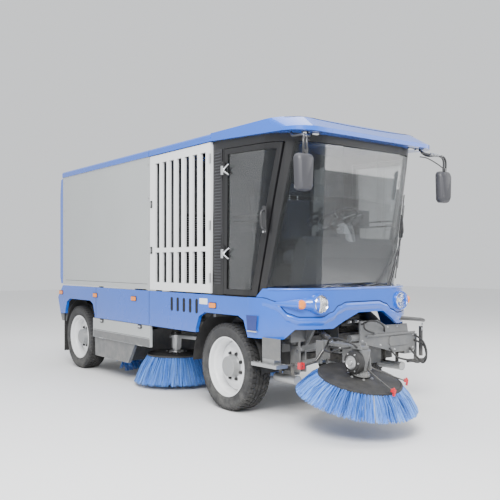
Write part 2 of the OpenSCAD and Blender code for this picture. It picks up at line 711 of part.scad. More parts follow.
module hopper() place() color("lightgray") {
  difference() {
    block([-half_w, hopper_front, upper_z], [half_w, hopper_rear, rail_z]);
    block([-half_w + wall, hopper_front + wall, upper_z + wall], [half_w - wall, hopper_rear + 1, rail_z + 1]);
  }
  both() {
    // hinge lugs
    for (x = [rail_x - 34, rail_x + 16]) difference() {
      side_view([[hinge_y - 90, upper_z], [hinge_y, upper_z], [hinge_y + 4, upper_z],
        [hinge_y + 32, hinge_z], [hinge_y, hinge_z - 32], [hinge_y - 32, hinge_z - 10]], x, x + 18);
      bar_x(x - 1, x + 19, hinge_y, hinge_z, hinge_r + fit);
    }
    // clevis plates for the tipping cylinders
    for (x = [rail_x - 40, rail_x + 28])
      side_view([[ram_eye_y - 60, upper_z], [ram_eye_y + 60, upper_z], [ram_eye_y + 26, ram_eye_z - 30],
        [ram_eye_y - 26, ram_eye_z - 30]], x, x + 12);
  }
}

module hopper_roof() place() color("royalblue") roof(hopper_front, hopper_rear);

hatch_pin = [hatch_y + 12, rail_z - 4];
module rear_hatch() place() color("royalblue") {
  // hinges along the upper edge
  for (x = [-700, -60, 580])
    bar_x(x, x + 120, hatch_pin[0], hatch_pin[1], 12);
  side_view([[hatch_y, upper_z + 10], [hatch_y + 70, upper_z + 10], [hatch_y + hatch_t, upper_z + 100],
    [hatch_y + hatch_t, rail_z - 260], [hatch_y + hatch_t - 30, rail_z - 30], [hatch_y, rail_z - 8]],
    -half_w + 3, half_w - 3);
}

tow_y = rear_end - 120;
tow_z = rail_low - 50;
module rear_bumper() place() color("gray") {
  difference() {
    side_view([[rail_rear, rail_low], [rear_end - 60, rail_low], [rear_end, 745], [rear_end, 990],
      [rear_end - 60, 1030], [rail_rear, 1030]], -half_w + wall, half_w - wall);
    // recesses round the hopper's hinge plates
    both() block([rail_x - 45, rail_rear - 1, rail_top - 10], [rail_x + 45, hinge_y + 45, 1031]);
  }
  // towing eye under the middle of the bumper
  difference() {
    side_view([[tow_y - 60, rail_low + 1], [tow_y + 50, rail_low + 1], [tow_y + 40, tow_z - 20],
      [tow_y + 20, tow_z - 40], [tow_y - 20, tow_z - 40], [tow_y - 40, tow_z - 20]], -15, 15);
    bar_x(-16, 16, tow_y, tow_z, tow_r);
  }
}

module tipping_frame() both() translate([rail_x, ram_base_y, ram_base_z]) rotate([ram_tilt, 0, 0]) children();
barrel_len = ram_run - 140;
module tipping_barrels() place() color("black") tipping_frame() difference() {
  union() {
    bar_x(-20, 20, 0, 0, 38);
    rotate([-90, 0, 0]) cylinder(r = 22, h = 70);
    translate([0, 66, 0]) rotate([-90, 0, 0]) cylinder(r = ram_r, h = barrel_len - 66);
  }
  bar_x(-30, 30, 0, 0, 18 + fit);
  translate([0, 120, 0]) rotate([-90, 0, 0]) cylinder(r = 26 + fit, h = barrel_len);
}
module tipping_rods() place() color("silver") tipping_frame() {
  translate([0, 140, 0]) rotate([-90, 0, 0]) cylinder(r = 26, h = ram_run - 140 - 30);
  difference() {
    bar_x(-15, 15, ram_run, 0, 36);
    bar_x(-20, 20, ram_run, 0, 18);
  }
}

// ---- inside the cab and on it ----
wheel_c = [0, -655, 1960];
column_tilt = 28;
module column_frame() translate(wheel_c) rotate([-column_tilt, 0, 0]) children();
module dashboard() place() color("dimgray") {
  difference() {
    union() {
      side_view([[-740, cab_low], [-600, cab_low], [-640, 1500], [-700, 1690], [-800, 1760], [-850, 1700],
        [-840, 1560]], -620, 620);
      column_frame() translate([0, 0, -270]) cylinder(r = 45, h = 225);
    }
    column_frame() translate([0, 0, -130]) cylinder(r = 14 + fit, h = 100);
  }
}
module steering_wheel() place() color("black") column_frame() {
  translate([0, 0, -125]) cylinder(r = 14, h = 100);
  rotate_extrude($fn = 64) translate([205, 0]) circle(r = 15, $fn = 24);
  for (a = [90, 210, 330]) rotate([0, 0, a]) translate([20, -14, -10]) cube([176, 28, 16]);
  translate([0, 0, -38]) cylinder(r = 38, h = 40);
}
seat_y = -260;
module driver_seat() place() color("slategray") {
  block([-150, seat_y - 150, cab_low], [150, seat_y + 200, 1500]);
  block([-255, seat_y - 230, 1500], [255, seat_y + 260, 1640]);
  translate([0, seat_y + 225, 1640]) rotate([-8, 0, 0]) translate([-245, -60, 0]) cube([490, 110, 620]);
}

mirror_y = -1236;
mirror_x = half_w + 2;
stay_back = -visor + 85;
module mirrors() place() color("darkslategray") both() {
  translate([mirror_x - 105, mirror_y - 45, 2140]) cube([215, 90, 330]);
  block([mirror_x - 20, mirror_y - 12, 2470], [mirror_x + 4, mirror_y + 12, 2640]);
  block([mirror_x - 190, mirror_y - 12, 2610], [mirror_x - 20, mirror_y + 12, 2640]);
  // stay up to the underside of the visor
  side_view([[mirror_y + 12, 2610], [stay_back, 2610], [stay_back, under_roof(stay_back)],
    [stay_back - 30, under_roof(stay_back - 30)], [stay_back - 30, 2640], [mirror_y + 12, 2640]],
    mirror_x - 190, mirror_x - 160);
}

chassis();
engine();
front_axle();
rear_axle();
cab_floor();
cab_frame();
cab_roof();
windscreen();
nose_panel();
bumper();
lamps();
steps();
front_subframe();
dashboard();
driver_seat();
mirrors();
side_skirts();
bay_frame();
bay_roof();
roller_housing();
rear_bumper();
knuckle_left();
knuckle_right();
tyre_front_left();
tyre_front_right();
tyre_rear_left();
tyre_rear_right();
rim_front_left();
rim_front_right();
rim_rear_left();
rim_rear_right();
steering_wheel();
door_left();
door_right();
door_glass_left();
door_glass_right();
louvre_door_left();
louvre_door_right();
hopper();
hopper_roof();
rear_hatch();
tipping_barrels();
tipping_rods();
side_arm_left();
side_arm_right();
side_brush_left();
side_brush_right();
front_post();
front_lower_link();
front_upper_link();
front_head();
front_brush();
lift_barrel();
lift_rod();
roller_brush();
roller_cover_left();
roller_cover_right();
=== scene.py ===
import math
import random
import bpy
from mathutils import Matrix, Vector
from mathutils.bvhtree import BVHTree


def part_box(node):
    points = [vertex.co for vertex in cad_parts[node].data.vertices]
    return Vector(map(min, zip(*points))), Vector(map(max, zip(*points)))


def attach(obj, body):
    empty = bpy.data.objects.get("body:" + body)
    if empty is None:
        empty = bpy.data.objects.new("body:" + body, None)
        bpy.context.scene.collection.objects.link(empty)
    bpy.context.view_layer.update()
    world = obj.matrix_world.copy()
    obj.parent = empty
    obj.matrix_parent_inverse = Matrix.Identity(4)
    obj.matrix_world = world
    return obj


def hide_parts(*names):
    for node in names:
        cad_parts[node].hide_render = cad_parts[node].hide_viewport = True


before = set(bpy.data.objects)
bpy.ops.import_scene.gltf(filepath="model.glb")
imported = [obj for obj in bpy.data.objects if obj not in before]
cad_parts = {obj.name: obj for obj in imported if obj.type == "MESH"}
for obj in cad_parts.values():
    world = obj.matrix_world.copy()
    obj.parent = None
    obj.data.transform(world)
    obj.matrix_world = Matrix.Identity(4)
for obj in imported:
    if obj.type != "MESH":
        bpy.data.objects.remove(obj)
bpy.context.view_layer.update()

# places, all measured from the front axle
tyreLow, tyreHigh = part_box("tyre_front_left")
axleY = (tyreLow.y + tyreHigh.y) / 2
axleZ = (tyreLow.z + tyreHigh.z) / 2
tyreOuter = (tyreHigh.z - tyreLow.z) / 2
wheelX = (tyreLow.x + tyreHigh.x) / 2
rearAxle = (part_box("tyre_rear_left")[0].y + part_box("tyre_rear_left")[1].y) / 2 - axleY
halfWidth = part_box("side_skirts")[1].x
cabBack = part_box("cab_floor")[1].y - axleY
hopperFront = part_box("hopper_roof")[0].y - axleY
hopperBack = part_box("hopper_roof")[1].y - axleY
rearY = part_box("rear_hatch")[1].y - axleY
print("frame loaded, front axle at Y", round(axleY, 3))


def at(x, y, z):
    return Vector((x, y + axleY, z))


sides = ((1, "left"), (-1, "right"))
surfaces = {}


def hit(node, start, way):  # where a line meets a CAD node
    if node not in surfaces:
        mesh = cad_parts[node].data
        corners = [v.co.copy() for v in mesh.vertices]
        surfaces[node] = BVHTree.FromPolygons(corners, [list(p.vertices) for p in mesh.polygons])
    return surfaces[node].ray_cast(Vector(start), Vector(way))[:2]


def turned(spot, angle, axis="Y"):  # a place turned by an angle in degrees
    return Matrix.Translation(spot) @ Matrix.Rotation(math.radians(angle), 4, axis)


def around(place, count, radius, height, shift=0.0):  # places in a circle round a local Z axis
    turns = [2 * math.pi * k / count + shift for k in range(count)]
    return [place @ Matrix.Translation((radius * math.cos(a), radius * math.sin(a), height)) for a in turns]


# mesh making
class Shape:
    def __init__(self):
        self.points, self.faces, self.paints, self.shades = [], [], [], []

    def add(self, points, faces, paint=0, shade=0.5):
        first = len(self.points)
        self.points += [tuple(p) for p in points]
        self.faces += [tuple(first + i for i in f) for f in faces]
        self.paints += [paint] * len(faces)
        self.shades += [shade] * len(points)

    def box(self, low, high, paint=0, place=None):
        x0, y0, z0 = low
        x1, y1, z1 = high
        pts = [Vector(p) for p in ((x0, y0, z0), (x1, y0, z0), (x1, y1, z0), (x0, y1, z0),
                                   (x0, y0, z1), (x1, y0, z1), (x1, y1, z1), (x0, y1, z1))]
        if place is not None:
            pts = [place @ p for p in pts]
        self.add(pts, [(3, 2, 1, 0), (4, 5, 6, 7), (0, 1, 5, 4), (1, 2, 6, 5), (2, 3, 7, 6), (3, 0, 4, 7)],
                 paint)

    def prism(self, outline, depth, place, paint=0):  # outline in local X and Y, pushed along local Z
        n = len(outline)
        pts = [place @ Vector((x, y, 0)) for x, y in outline] + [place @ Vector((x, y, depth))
                                                                 for x, y in outline]
        faces = [tuple(reversed(range(n))), tuple(range(n, 2 * n))]
        faces += [(i, (i + 1) % n, n + (i + 1) % n, n + i) for i in range(n)]
        self.add(pts, faces, paint)

    # profile of (radius, height)
    def lathe(self, profile, place, steps=48, paint=0, closed=False, caps=False):
        pts, faces, n = [], [], len(profile)
        for s in range(steps):
            a = 2 * math.pi * s / steps
            pts += [place @ Vector((r * math.cos(a), r * math.sin(a), h)) for r, h in profile]
        for s in range(steps):
            t = (s + 1) % steps
            for i in range(n if closed else n - 1):
                j = (i + 1) % n
                faces.append((s * n + i, t * n + i, t * n + j, s * n + j))
        if caps:
            for i in (0, n - 1):
                if profile[i][0] > 0.0005:
                    ring = [s * n + i for s in range(steps)]
                    faces.append(tuple(reversed(ring)) if i == 0 else tuple(ring))
        self.add(pts, faces, paint)

    def tube(self, route, radius, sides=10, paint=0, closed=False, smooth=0, shade=0.5):
        pts = [Vector(p) for p in route]
        if smooth:
            pts = curveThrough(pts, smooth, closed)
        n = len(pts)
        radii = radius if isinstance(radius, (list, tuple)) else [radius] * n
        if len(radii) != n:
            radii = [radii[0] + (radii[-1] - radii[0]) * i / (n - 1) for i in range(n)]
        rings, normal = [], None
        for i, p in enumerate(pts):
            ahead = pts[(i + 1) % n] if closed or i < n - 1 else p
            behind = pts[i - 1] if closed or i > 0 else p
            way = (ahead - behind).normalized()
            if normal is None:
                normal = way.orthogonal().normalized()
            normal = (normal - way * normal.dot(way)).normalized()
            other = way.cross(normal)
            rings += [p + (normal * math.cos(2 * math.pi * k / sides)
                           + other * math.sin(2 * math.pi * k / sides)) * radii[i] for k in range(sides)]
        faces = []
        for i in range(n if closed else n - 1):
            j = (i + 1) % n
            for k in range(sides):
                m = (k + 1) % sides
                faces.append((i * sides + k, i * sides + m, j * sides + m, j * sides + k))
        if not closed:
            faces += [tuple(reversed(range(sides))), tuple((n - 1) * sides + k for k in range(sides))]
        self.add(rings, faces, paint, shade)

    def piece(self, name, finishes, body, bevel=0.0, angle=35, rounds=2, smooth=True):
        mesh = bpy.data.meshes.new(name)
        mesh.from_pydata(self.points, [], self.faces)
        for f in finishes:
            mesh.materials.append(f)
        mesh.polygons.foreach_set("material_index", self.paints)
        tone = mesh.attributes.new("tone", "FLOAT", "POINT")
        tone.data.foreach_set("value", self.shades)
        mesh.validate()
        mesh.update()
        if smooth:
            mesh.polygons.foreach_set("use_smooth", [True] * len(mesh.polygons))
            mesh.set_sharp_from_angle(angle=math.radians(angle))
        made = bpy.data.objects.new(name, mesh)
        bpy.context.scene.collection.objects.link(made)
        if bevel:
            edge = made.modifiers.new("edges", "BEVEL")
            edge.width, edge.segments = bevel, rounds
            edge.limit_method, edge.angle_limit = "ANGLE", math.radians(angle)
            edge.harden_normals = True
        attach(made, body)
        return made


def curveThrough(pts, steps, closed=False):  # a smooth line through given points
    n, out = len(pts), []
    for i in range(n if closed else n - 1):
        if closed:
            a, b, c, d = pts[i - 1], pts[i], pts[(i + 1) % n], pts[(i + 2) % n]
        else:
            a, b, c, d = pts[max(i - 1, 0)], pts[i], pts[i + 1], pts[min(i + 2, n - 1)]
        for s in range(steps):
            t = s / steps
            out.append(0.5 * (2 * b + (c - a) * t + (2 * a - 5 * b + 4 * c - d) * t * t
                              + (3 * b - a - 3 * c + d) * t ** 3))
    if not closed:
        out.append(pts[-1].copy())
    return out


def along(origin, way, up=(0, 0, 1)):  # a frame at origin whose local Z points along way
    z = Vector(way).normalized()
    x = Vector(up).cross(z)
    x = x.normalized() if x.length > 1e-4 else Vector((1, 0, 0))
    y = z.cross(x)
    turn = Matrix((x, y, z)).transposed().to_4x4()
    return Matrix.Translation(origin) @ turn


def roundedRect(w, h, r, steps=5):
    out = []
    for cx, cy, a0 in ((w / 2 - r, h / 2 - r, 0), (r - w / 2, h / 2 - r, 90), (r - w / 2, r - h / 2, 180),
                       (w / 2 - r, r - h / 2, 270)):
        for s in range(steps + 1):
            a = math.radians(a0 + 90 * s / steps)
            out.append((cx + r * math.cos(a), cy + r * math.sin(a)))
    return out


# shared effects, as node groups
def nodeGroup(name, inputs, outputs):
    tree = bpy.data.node_groups.new(name, "ShaderNodeTree")
    for label, kind, value in inputs:
        socket = tree.interface.new_socket(name=label, in_out="INPUT", socket_type="NodeSocket" + kind)
        socket.default_value = value
    for label, kind in outputs:
        tree.interface.new_socket(name=label, in_out="OUTPUT", socket_type="NodeSocket" + kind)
    return tree, tree.nodes.new("NodeGroupInput"), tree.nodes.new("NodeGroupOutput")


def put(tree, kind, settings=None, **links):
    node = tree.nodes.new("ShaderNode" + kind)
    for key, value in (settings or {}).items():
        setattr(node, key, value)
    for key, value in links.items():
        numbered = key[0] == "i" and key[1:].isdigit()
        socket = node.inputs[int(key[1:]) if numbered else key.replace("_", " ")]
        if isinstance(value, bpy.types.NodeSocket):
            tree.links.new(value, socket)
        else:
            socket.default_value = value
    return node


def makeGrain():  # fine unevenness of a sprayed, cast or moulded surface
    tree, given, result = nodeGroup("surfaceGrain", [("Scale", "Float", 60.0), ("Detail", "Float", 3.0)],
                                    [("Height", "Float"), ("Patches", "Float")])
    where = put(tree, "TexCoord").outputs["Object"]
    fine = put(tree, "TexNoise", None, Vector=where, Scale=given.outputs["Scale"],
               Detail=given.outputs["Detail"])
    broad = put(tree, "TexNoise", None, Vector=where, Scale=1.7, Detail=4.0)
    tree.links.new(fine.outputs["Fac"], result.inputs["Height"])
    tree.links.new(broad.outputs["Fac"], result.inputs["Patches"])
    return tree


def makeDust():  # road dust that thins out with height
    tree, given, result = nodeGroup("roadDust", [("Top", "Float", 1.0), ("Amount", "Float", 0.3)],
                                    [("Mask", "Float")])
    where = put(tree, "TexCoord").outputs["Object"]
    height = put(tree, "SeparateXYZ", None, Vector=where).outputs["Z"]
    share = put(tree, "Math", {"operation": "DIVIDE"}, i0=height, i1=given.outputs["Top"])
    fade = put(tree, "Math", {"operation": "SUBTRACT", "use_clamp": True}, i0=1.0, i1=share.outputs[0])
    spots = put(tree, "TexNoise", None, Vector=where, Scale=9.0, Detail=8.0, Roughness=0.65)
    sharp = put(tree, "MapRange", None, Value=spots.outputs["Fac"], From_Min=0.38, From_Max=0.72)
    mixed = put(tree, "Math", {"operation": "MULTIPLY"}, i0=fade.outputs[0], i1=sharp.outputs["Result"])
    scaled = put(tree, "Math", {"operation": "MULTIPLY", "use_clamp": True}, i0=mixed.outputs[0],
                 i1=given.outputs["Amount"])
    tree.links.new(scaled.outputs[0], result.inputs["Mask"])
    return tree


def makeWear():  # edges rubbed by hands, stones and brooms
    tree, given, result = nodeGroup("edgeWear", [("Radius", "Float", 0.006), ("Amount", "Float", 0.4)],
                                    [("Mask", "Float")])
    rounded = put(tree, "Bevel", {"samples": 4}, Radius=given.outputs["Radius"])
    flat = put(tree, "NewGeometry").outputs["Normal"]
    same = put(tree, "VectorMath", {"operation": "DOT_PRODUCT"}, i0=rounded.outputs["Normal"], i1=flat)
    edge = put(tree, "MapRange", None, Value=same.outputs["Value"], From_Min=0.985, From_Max=0.8)
    where = put(tree, "TexCoord").outputs["Object"]
    broken = put(tree, "TexNoise", None, Vector=where, Scale=38.0, Detail=6.0)
    patchy = put(tree, "MapRange", None, Value=broken.outputs["Fac"], From_Min=0.42, From_Max=0.62)
    both = put(tree, "Math", {"operation": "MULTIPLY"}, i0=edge.outputs["Result"],
               i1=patchy.outputs["Result"])
    scaled = put(tree, "Math", {"operation": "MULTIPLY", "use_clamp": True}, i0=both.outputs[0],
                 i1=given.outputs["Amount"])
    tree.links.new(scaled.outputs[0], result.inputs["Mask"])
    return tree


grainGroup, dustGroup, wearGroup = makeGrain(), makeDust(), makeWear()


def finish(name, colour, rough=0.4, metal=0.0, coat=0.0, grain=(60.0, 0.05), drift=0.06, dust=(1.0, 0.2),
           dustColour=(0.42, 0.39, 0.34), wear=0.0, wearColour=(0.6, 0.6, 0.6), spread=0.12):
    made = bpy.data.materials.new(name)
    made.use_nodes = True
    tree = made.node_tree
    shader = tree.nodes["Principled BSDF"]
    grains = put(tree, "Group", {"node_tree": grainGroup}, Scale=grain[0])
    deep = tuple(c * (1 - drift * 1.6) for c in colour) + (1,)
    light = tuple(min(1, c * (1 + drift)) for c in colour) + (1,)
    body = put(tree, "Mix", {"data_type": "RGBA"}, Factor=grains.outputs["Patches"], i6=deep, i7=light)
    tone = body.outputs[2]
    if wear:
        rubbed = put(tree, "Group", {"node_tree": wearGroup}, Amount=wear)
        tone = put(tree, "Mix", {"data_type": "RGBA"}, Factor=rubbed.outputs["Mask"], i6=tone,
                   i7=tuple(wearColour) + (1,)).outputs[2]
    if dust[1]:
        dirty = put(tree, "Group", {"node_tree": dustGroup}, Top=dust[0], Amount=dust[1])
        tone = put(tree, "Mix", {"data_type": "RGBA"}, Factor=dirty.outputs["Mask"], i6=tone,
                   i7=tuple(dustColour) + (1,)).outputs[2]
    tree.links.new(tone, shader.inputs["Base Color"])
    gloss = put(tree, "MapRange", None, Value=grains.outputs["Patches"], To_Min=max(0.02, rough - spread),
                To_Max=min(1, rough + spread))
    tree.links.new(gloss.outputs["Result"], shader.inputs["Roughness"])
    bump = put(tree, "Bump", None, Strength=grain[1], Distance=0.002, Height=grains.outputs["Height"])
    tree.links.new(bump.outputs["Normal"], shader.inputs["Normal"])
    shader.inputs["Metallic"].default_value = metal
    if coat:
        shader.inputs["Coat Weight"].default_value = coat
        shader.inputs["Coat Roughness"].default_value = 0.06
    return made


# finishes
bluePaint = finish("bluePaint", (0.006, 0.112, 0.60), 0.26, coat=1.0, grain=(140, 0.03), drift=0.05,
                   dust=(1.1, 0.15), wear=0.2, wearColour=(0.3, 0.45, 0.85))
# painted shade: a dark blue laid on the step pocket in the skirt, where shade falls
paintedShadeBlue = finish("paintedShadeBlue", (0.012, 0.03, 0.2), 0.4, coat=0.3, grain=(140, 0.03), dust=(1, 0))
greyPanel = finish("greyPanel", (0.42, 0.44, 0.44), 0.36, coat=0.35, grain=(120, 0.03), drift=0.04,
                   dust=(1.7, 0.25), wear=0.15)
whitePanel = finish("whitePanel", (0.84, 0.85, 0.86), 0.35, coat=0.4, grain=(120, 0.03), drift=0.02,
                    dust=(1.6, 0.2), wear=0.1)
greyPaint = finish("greyPaint", (0.13, 0.134, 0.138), 0.45, coat=0.15, grain=(90, 0.08), drift=0.12,
                   dust=(1.2, 0.4), wear=0.6, wearColour=(0.5, 0.5, 0.5))
chassisBlack = finish("chassisBlack", (0.035, 0.035, 0.038), 0.6, grain=(80, 0.15), drift=0.25,
                      dust=(1.3, 0.8))
castIron = finish("castIron", (0.11, 0.115, 0.12), 0.65, metal=0.3, grain=(160, 0.4), drift=0.3,
                  dust=(2, 0.6))
blackFrame = finish("blackFrame", (0.008, 0.008, 0.009), 0.38, coat=0.08, grain=(120, 0.03), drift=0.1,
                    dust=(1.8, 0.08))
blackSteel = finish("blackSteel", (0.02, 0.02, 0.022), 0.3, coat=0.5, grain=(90, 0.05), drift=0.15,
                    dust=(1, 0.5), wear=0.4, wearColour=(0.3, 0.3, 0.3))
rubberBlack = finish("rubberBlack", (0.02, 0.02, 0.021), 0.6, grain=(200, 0.2), drift=0.2, dust=(1.1, 0.12))
cabTrim = finish("cabTrim", (0.06, 0.063, 0.07), 0.6, grain=(420, 0.06), drift=0.1, dust=(1.4, 0.3))
cabPale = finish("cabPale", (0.33, 0.35, 0.37), 0.5, grain=(420, 0.06), drift=0.06, dust=(1.4, 0.2))
mirrorCase = finish("mirrorCase", (0.045, 0.045, 0.052), 0.45, grain=(380, 0.06), drift=0.06, dust=(1, 0.1))
chrome = finish("chrome", (0.82, 0.83, 0.84), 0.1, metal=1.0, grain=(60, 0.02), drift=0.05,
                dust=(1, 0.2), spread=0.05)
galvanised = finish("galvanised", (0.52, 0.53, 0.54), 0.4, metal=0.85, grain=(45, 0.12), drift=0.18,
                    dust=(1.2, 0.6))
wheelSilver = finish("wheelSilver", (0.80, 0.81, 0.82), 0.32, coat=0.3, grain=(120, 0.05), drift=0.04,
                     dust=(1.0, 0.35))
hubGrey = finish("hubGrey", (0.33, 0.34, 0.35), 0.4, metal=0.35, grain=(90, 0.15), drift=0.1,
                 dust=(1.0, 0.5))
tyreRubber = finish("tyreRubber", (0.035, 0.035, 0.036), 0.78, grain=(260, 0.3), drift=0.25,
                    dust=(1.0, 1.0), dustColour=(0.13, 0.127, 0.12))
treadRubber = finish("treadRubber", (0.022, 0.022, 0.023), 0.85, grain=(260, 0.4), drift=0.3,
                     dust=(0.9, 0.6), dustColour=(0.12, 0.115, 0.105))
redPlastic = finish("redPlastic", (0.62, 0.015, 0.03), 0.35, grain=(200, 0.05), drift=0.05, dust=(1, 0.2))
amberLens = finish("amberLens", (0.95, 0.26, 0.02), 0.12, coat=0.8, grain=(60, 0.02), drift=0.06,
                   dust=(1, 0.1))
redLens = finish("redLens", (0.6, 0.01, 0.01), 0.12, coat=0.8, grain=(60, 0.02), drift=0.06,
                 dust=(1.2, 0.3))
labelWhite = finish("labelWhite", (0.86, 0.86, 0.84), 0.4, grain=(200, 0.03), drift=0.02, dust=(1.6, 0.2))
darkVoid = finish("darkVoid", (0.008, 0.008, 0.009), 0.8, grain=(120, 0.1), drift=0.2, dust=(1, 0))


def makeGlass(name, colour, rough, cover):
    made = bpy.data.materials.new(name)
    made.use_nodes = True
    tree = made.node_tree
    shader = tree.nodes["Principled BSDF"]
    shader.inputs["Transmission Weight"].default_value = 1.0
    shader.inputs["IOR"].default_value = 1.46
    grains = put(tree, "Group", {"node_tree": grainGroup}, Scale=4.0)
    tint = put(tree, "Mix", {"data_type": "RGBA"}, Factor=grains.outputs["Patches"],
               i6=tuple(c * 0.9 for c in colour) + (1,), i7=tuple(colour) + (1,))
    tree.links.new(tint.outputs[2], shader.inputs["Base Color"])
    shader.inputs["Roughness"].default_value = rough
    shader.inputs["Alpha"].default_value = cover
    return made


tintedGlass = makeGlass("tintedGlass", (0.28, 0.31, 0.32), 0.0, 0.5)
clearLens = makeGlass("clearLens", (0.95, 0.96, 0.97), 0.0, 0.5)


def makeBristle():  # drawn plastic, a little different from strand to strand
    made = bpy.data.materials.new("blueBristle")
    made.use_nodes = True
    tree = made.node_tree
    shader = tree.nodes["Principled BSDF"]
    tone = put(tree, "Attribute", {"attribute_name": "tone"}).outputs["Fac"]
    ramp = put(tree, "ValToRGB", None, Fac=tone)
    keys = ramp.color_ramp.elements
    keys[0].color, keys[1].color = (0.012, 0.05, 0.20, 1), (0.26, 0.52, 0.95, 1)
    middle = keys.new(0.45)
    middle.color = (0.06, 0.23, 0.74, 1)
    dirty = put(tree, "Group", {"node_tree": dustGroup}, Top=0.6, Amount=0.25)
    soiled = put(tree, "Mix", {"data_type": "RGBA"}, Factor=dirty.outputs["Mask"], i6=ramp.outputs["Color"],
                 i7=(0.30, 0.30, 0.32, 1))
    tree.links.new(soiled.outputs[2], shader.inputs["Base Color"])
    gloss = put(tree, "MapRange", None, Value=tone, To_Min=0.3, To_Max=0.5)
    tree.links.new(gloss.outputs["Result"], shader.inputs["Roughness"])
    return made


def makeCloth():  # woven seat cover
    made = bpy.data.materials.new("seatCloth")
    made.use_nodes = True
    tree = made.node_tree
    shader = tree.nodes["Principled BSDF"]
    where = put(tree, "TexCoord").outputs["Object"]
    warp = put(tree, "TexWave", {"bands_direction": "X"}, Vector=where, Scale=260.0, Distortion=1.0)
    weft = put(tree, "TexWave", {"bands_direction": "Z"}, Vector=where, Scale=260.0, Distortion=1.0)
    weave = put(tree, "Math", {"operation": "MAXIMUM"}, i0=warp.outputs["Fac"], i1=weft.outputs["Fac"])
    thread = put(tree, "Mix", {"data_type": "RGBA"}, Factor=weave.outputs[0], i6=(0.03, 0.032, 0.04, 1),
                 i7=(0.11, 0.12, 0.15, 1))
    tree.links.new(thread.outputs[2], shader.inputs["Base Color"])
    bump = put(tree, "Bump", None, Strength=0.5, Distance=0.001, Height=weave.outputs[0])
    tree.links.new(bump.outputs["Normal"], shader.inputs["Normal"])
    shader.inputs["Roughness"].default_value = 0.92
    shader.inputs["Sheen Weight"].default_value = 0.3
    return made


blueBristle, seatCloth = makeBristle(), makeCloth()
print("finishes ready:", len(bpy.data.materials))

# finishes on the CAD nodes
nodeFinish = {"chassis": chassisBlack, "engine": castIron, "front_axle": chassisBlack,
              "rear_axle": chassisBlack, "cab_floor": cabTrim, "cab_frame": blackFrame,
              "cab_roof": bluePaint, "windscreen": tintedGlass, "nose_panel": bluePaint,
              "bumper": bluePaint, "lamps": clearLens, "steps": galvanised, "front_subframe": greyPaint,
              "dashboard": cabTrim, "driver_seat": cabTrim, "mirrors": mirrorCase, "side_skirts": bluePaint,
              "bay_frame": greyPaint, "bay_roof": bluePaint, "roller_housing": greyPaint,
              "rear_bumper": greyPaint, "knuckle_left": castIron, "knuckle_right": castIron,
              "steering_wheel": rubberBlack, "door_left": blackFrame, "door_right": blackFrame,
              "door_glass_left": tintedGlass, "door_glass_right": tintedGlass,
              "louvre_door_left": whitePanel, "louvre_door_right": whitePanel, "hopper": greyPanel,
              "hopper_roof": bluePaint, "rear_hatch": bluePaint, "tipping_barrels": blackSteel,
              "tipping_rods": chrome, "side_arm_left": galvanised, "side_arm_right": galvanised,
              "front_post": greyPaint, "front_lower_link": galvanised, "front_upper_link": galvanised,
              "front_head": greyPaint, "lift_barrel": blackSteel, "lift_rod": chrome,
              "roller_cover_left": greyPanel, "roller_cover_right": greyPanel}
for nodeName, look in nodeFinish.items():
    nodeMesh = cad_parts[nodeName].data
    if not len(nodeMesh.materials):
        nodeMesh.materials.append(look)
    for i in range(len(nodeMesh.materials)):
        nodeMesh.materials[i] = look

# wheels
tyreShape = {"profile": [(0.298, 0.088), (0.304, 0.106), (0.318, 0.117), (0.338, 0.125), (0.345, 0.1235),
                         (0.349, 0.1265), (0.372, 0.1295), (0.392, 0.129), (0.396, 0.126), (0.411, 0.1235),
                         (0.424, 0.118), (0.434, 0.108)],
             "ribs": [(0.0, 0.036), (0.046, 0.036), (0.092, 0.04)], "blocks": 52}
rimShape = {"lip": [(0.290, 0.060), (0.294, 0.104), (0.297, 0.1085), (0.303, 0.1085), (0.3065, 0.112),
                    (0.3065, 0.1165), (0.302, 0.119), (0.296, 0.1175), (0.289, 0.110), (0.285, 0.092),
                    (0.282, 0.070), (0.272, 0.061), (0.266, 0.052), (0.262, 0.030), (0.258, -0.016),
                    (0.258, -0.070), (0.282, -0.088), (0.290, -0.104), (0.302, -0.112), (0.306, -0.106),
                    (0.300, -0.098), (0.290, -0.060)],
            "disc": [(0.2575, -0.034), (0.252, -0.022), (0.243, -0.014), (0.228, -0.011), (0.212, -0.004),
                     (0.196, 0.008), (0.178, 0.016), (0.160, 0.0175), (0.112, 0.0175)],
            "hub": [(0.121, 0.017), (0.119, 0.026), (0.112, 0.034), (0.1075, 0.044), (0.105, 0.082),
                    (0.1035, 0.090), (0.097, 0.0945), (0.090, 0.0955), (0.0, 0.0955)], "studs": 8,
            "studCircle": 0.1375}


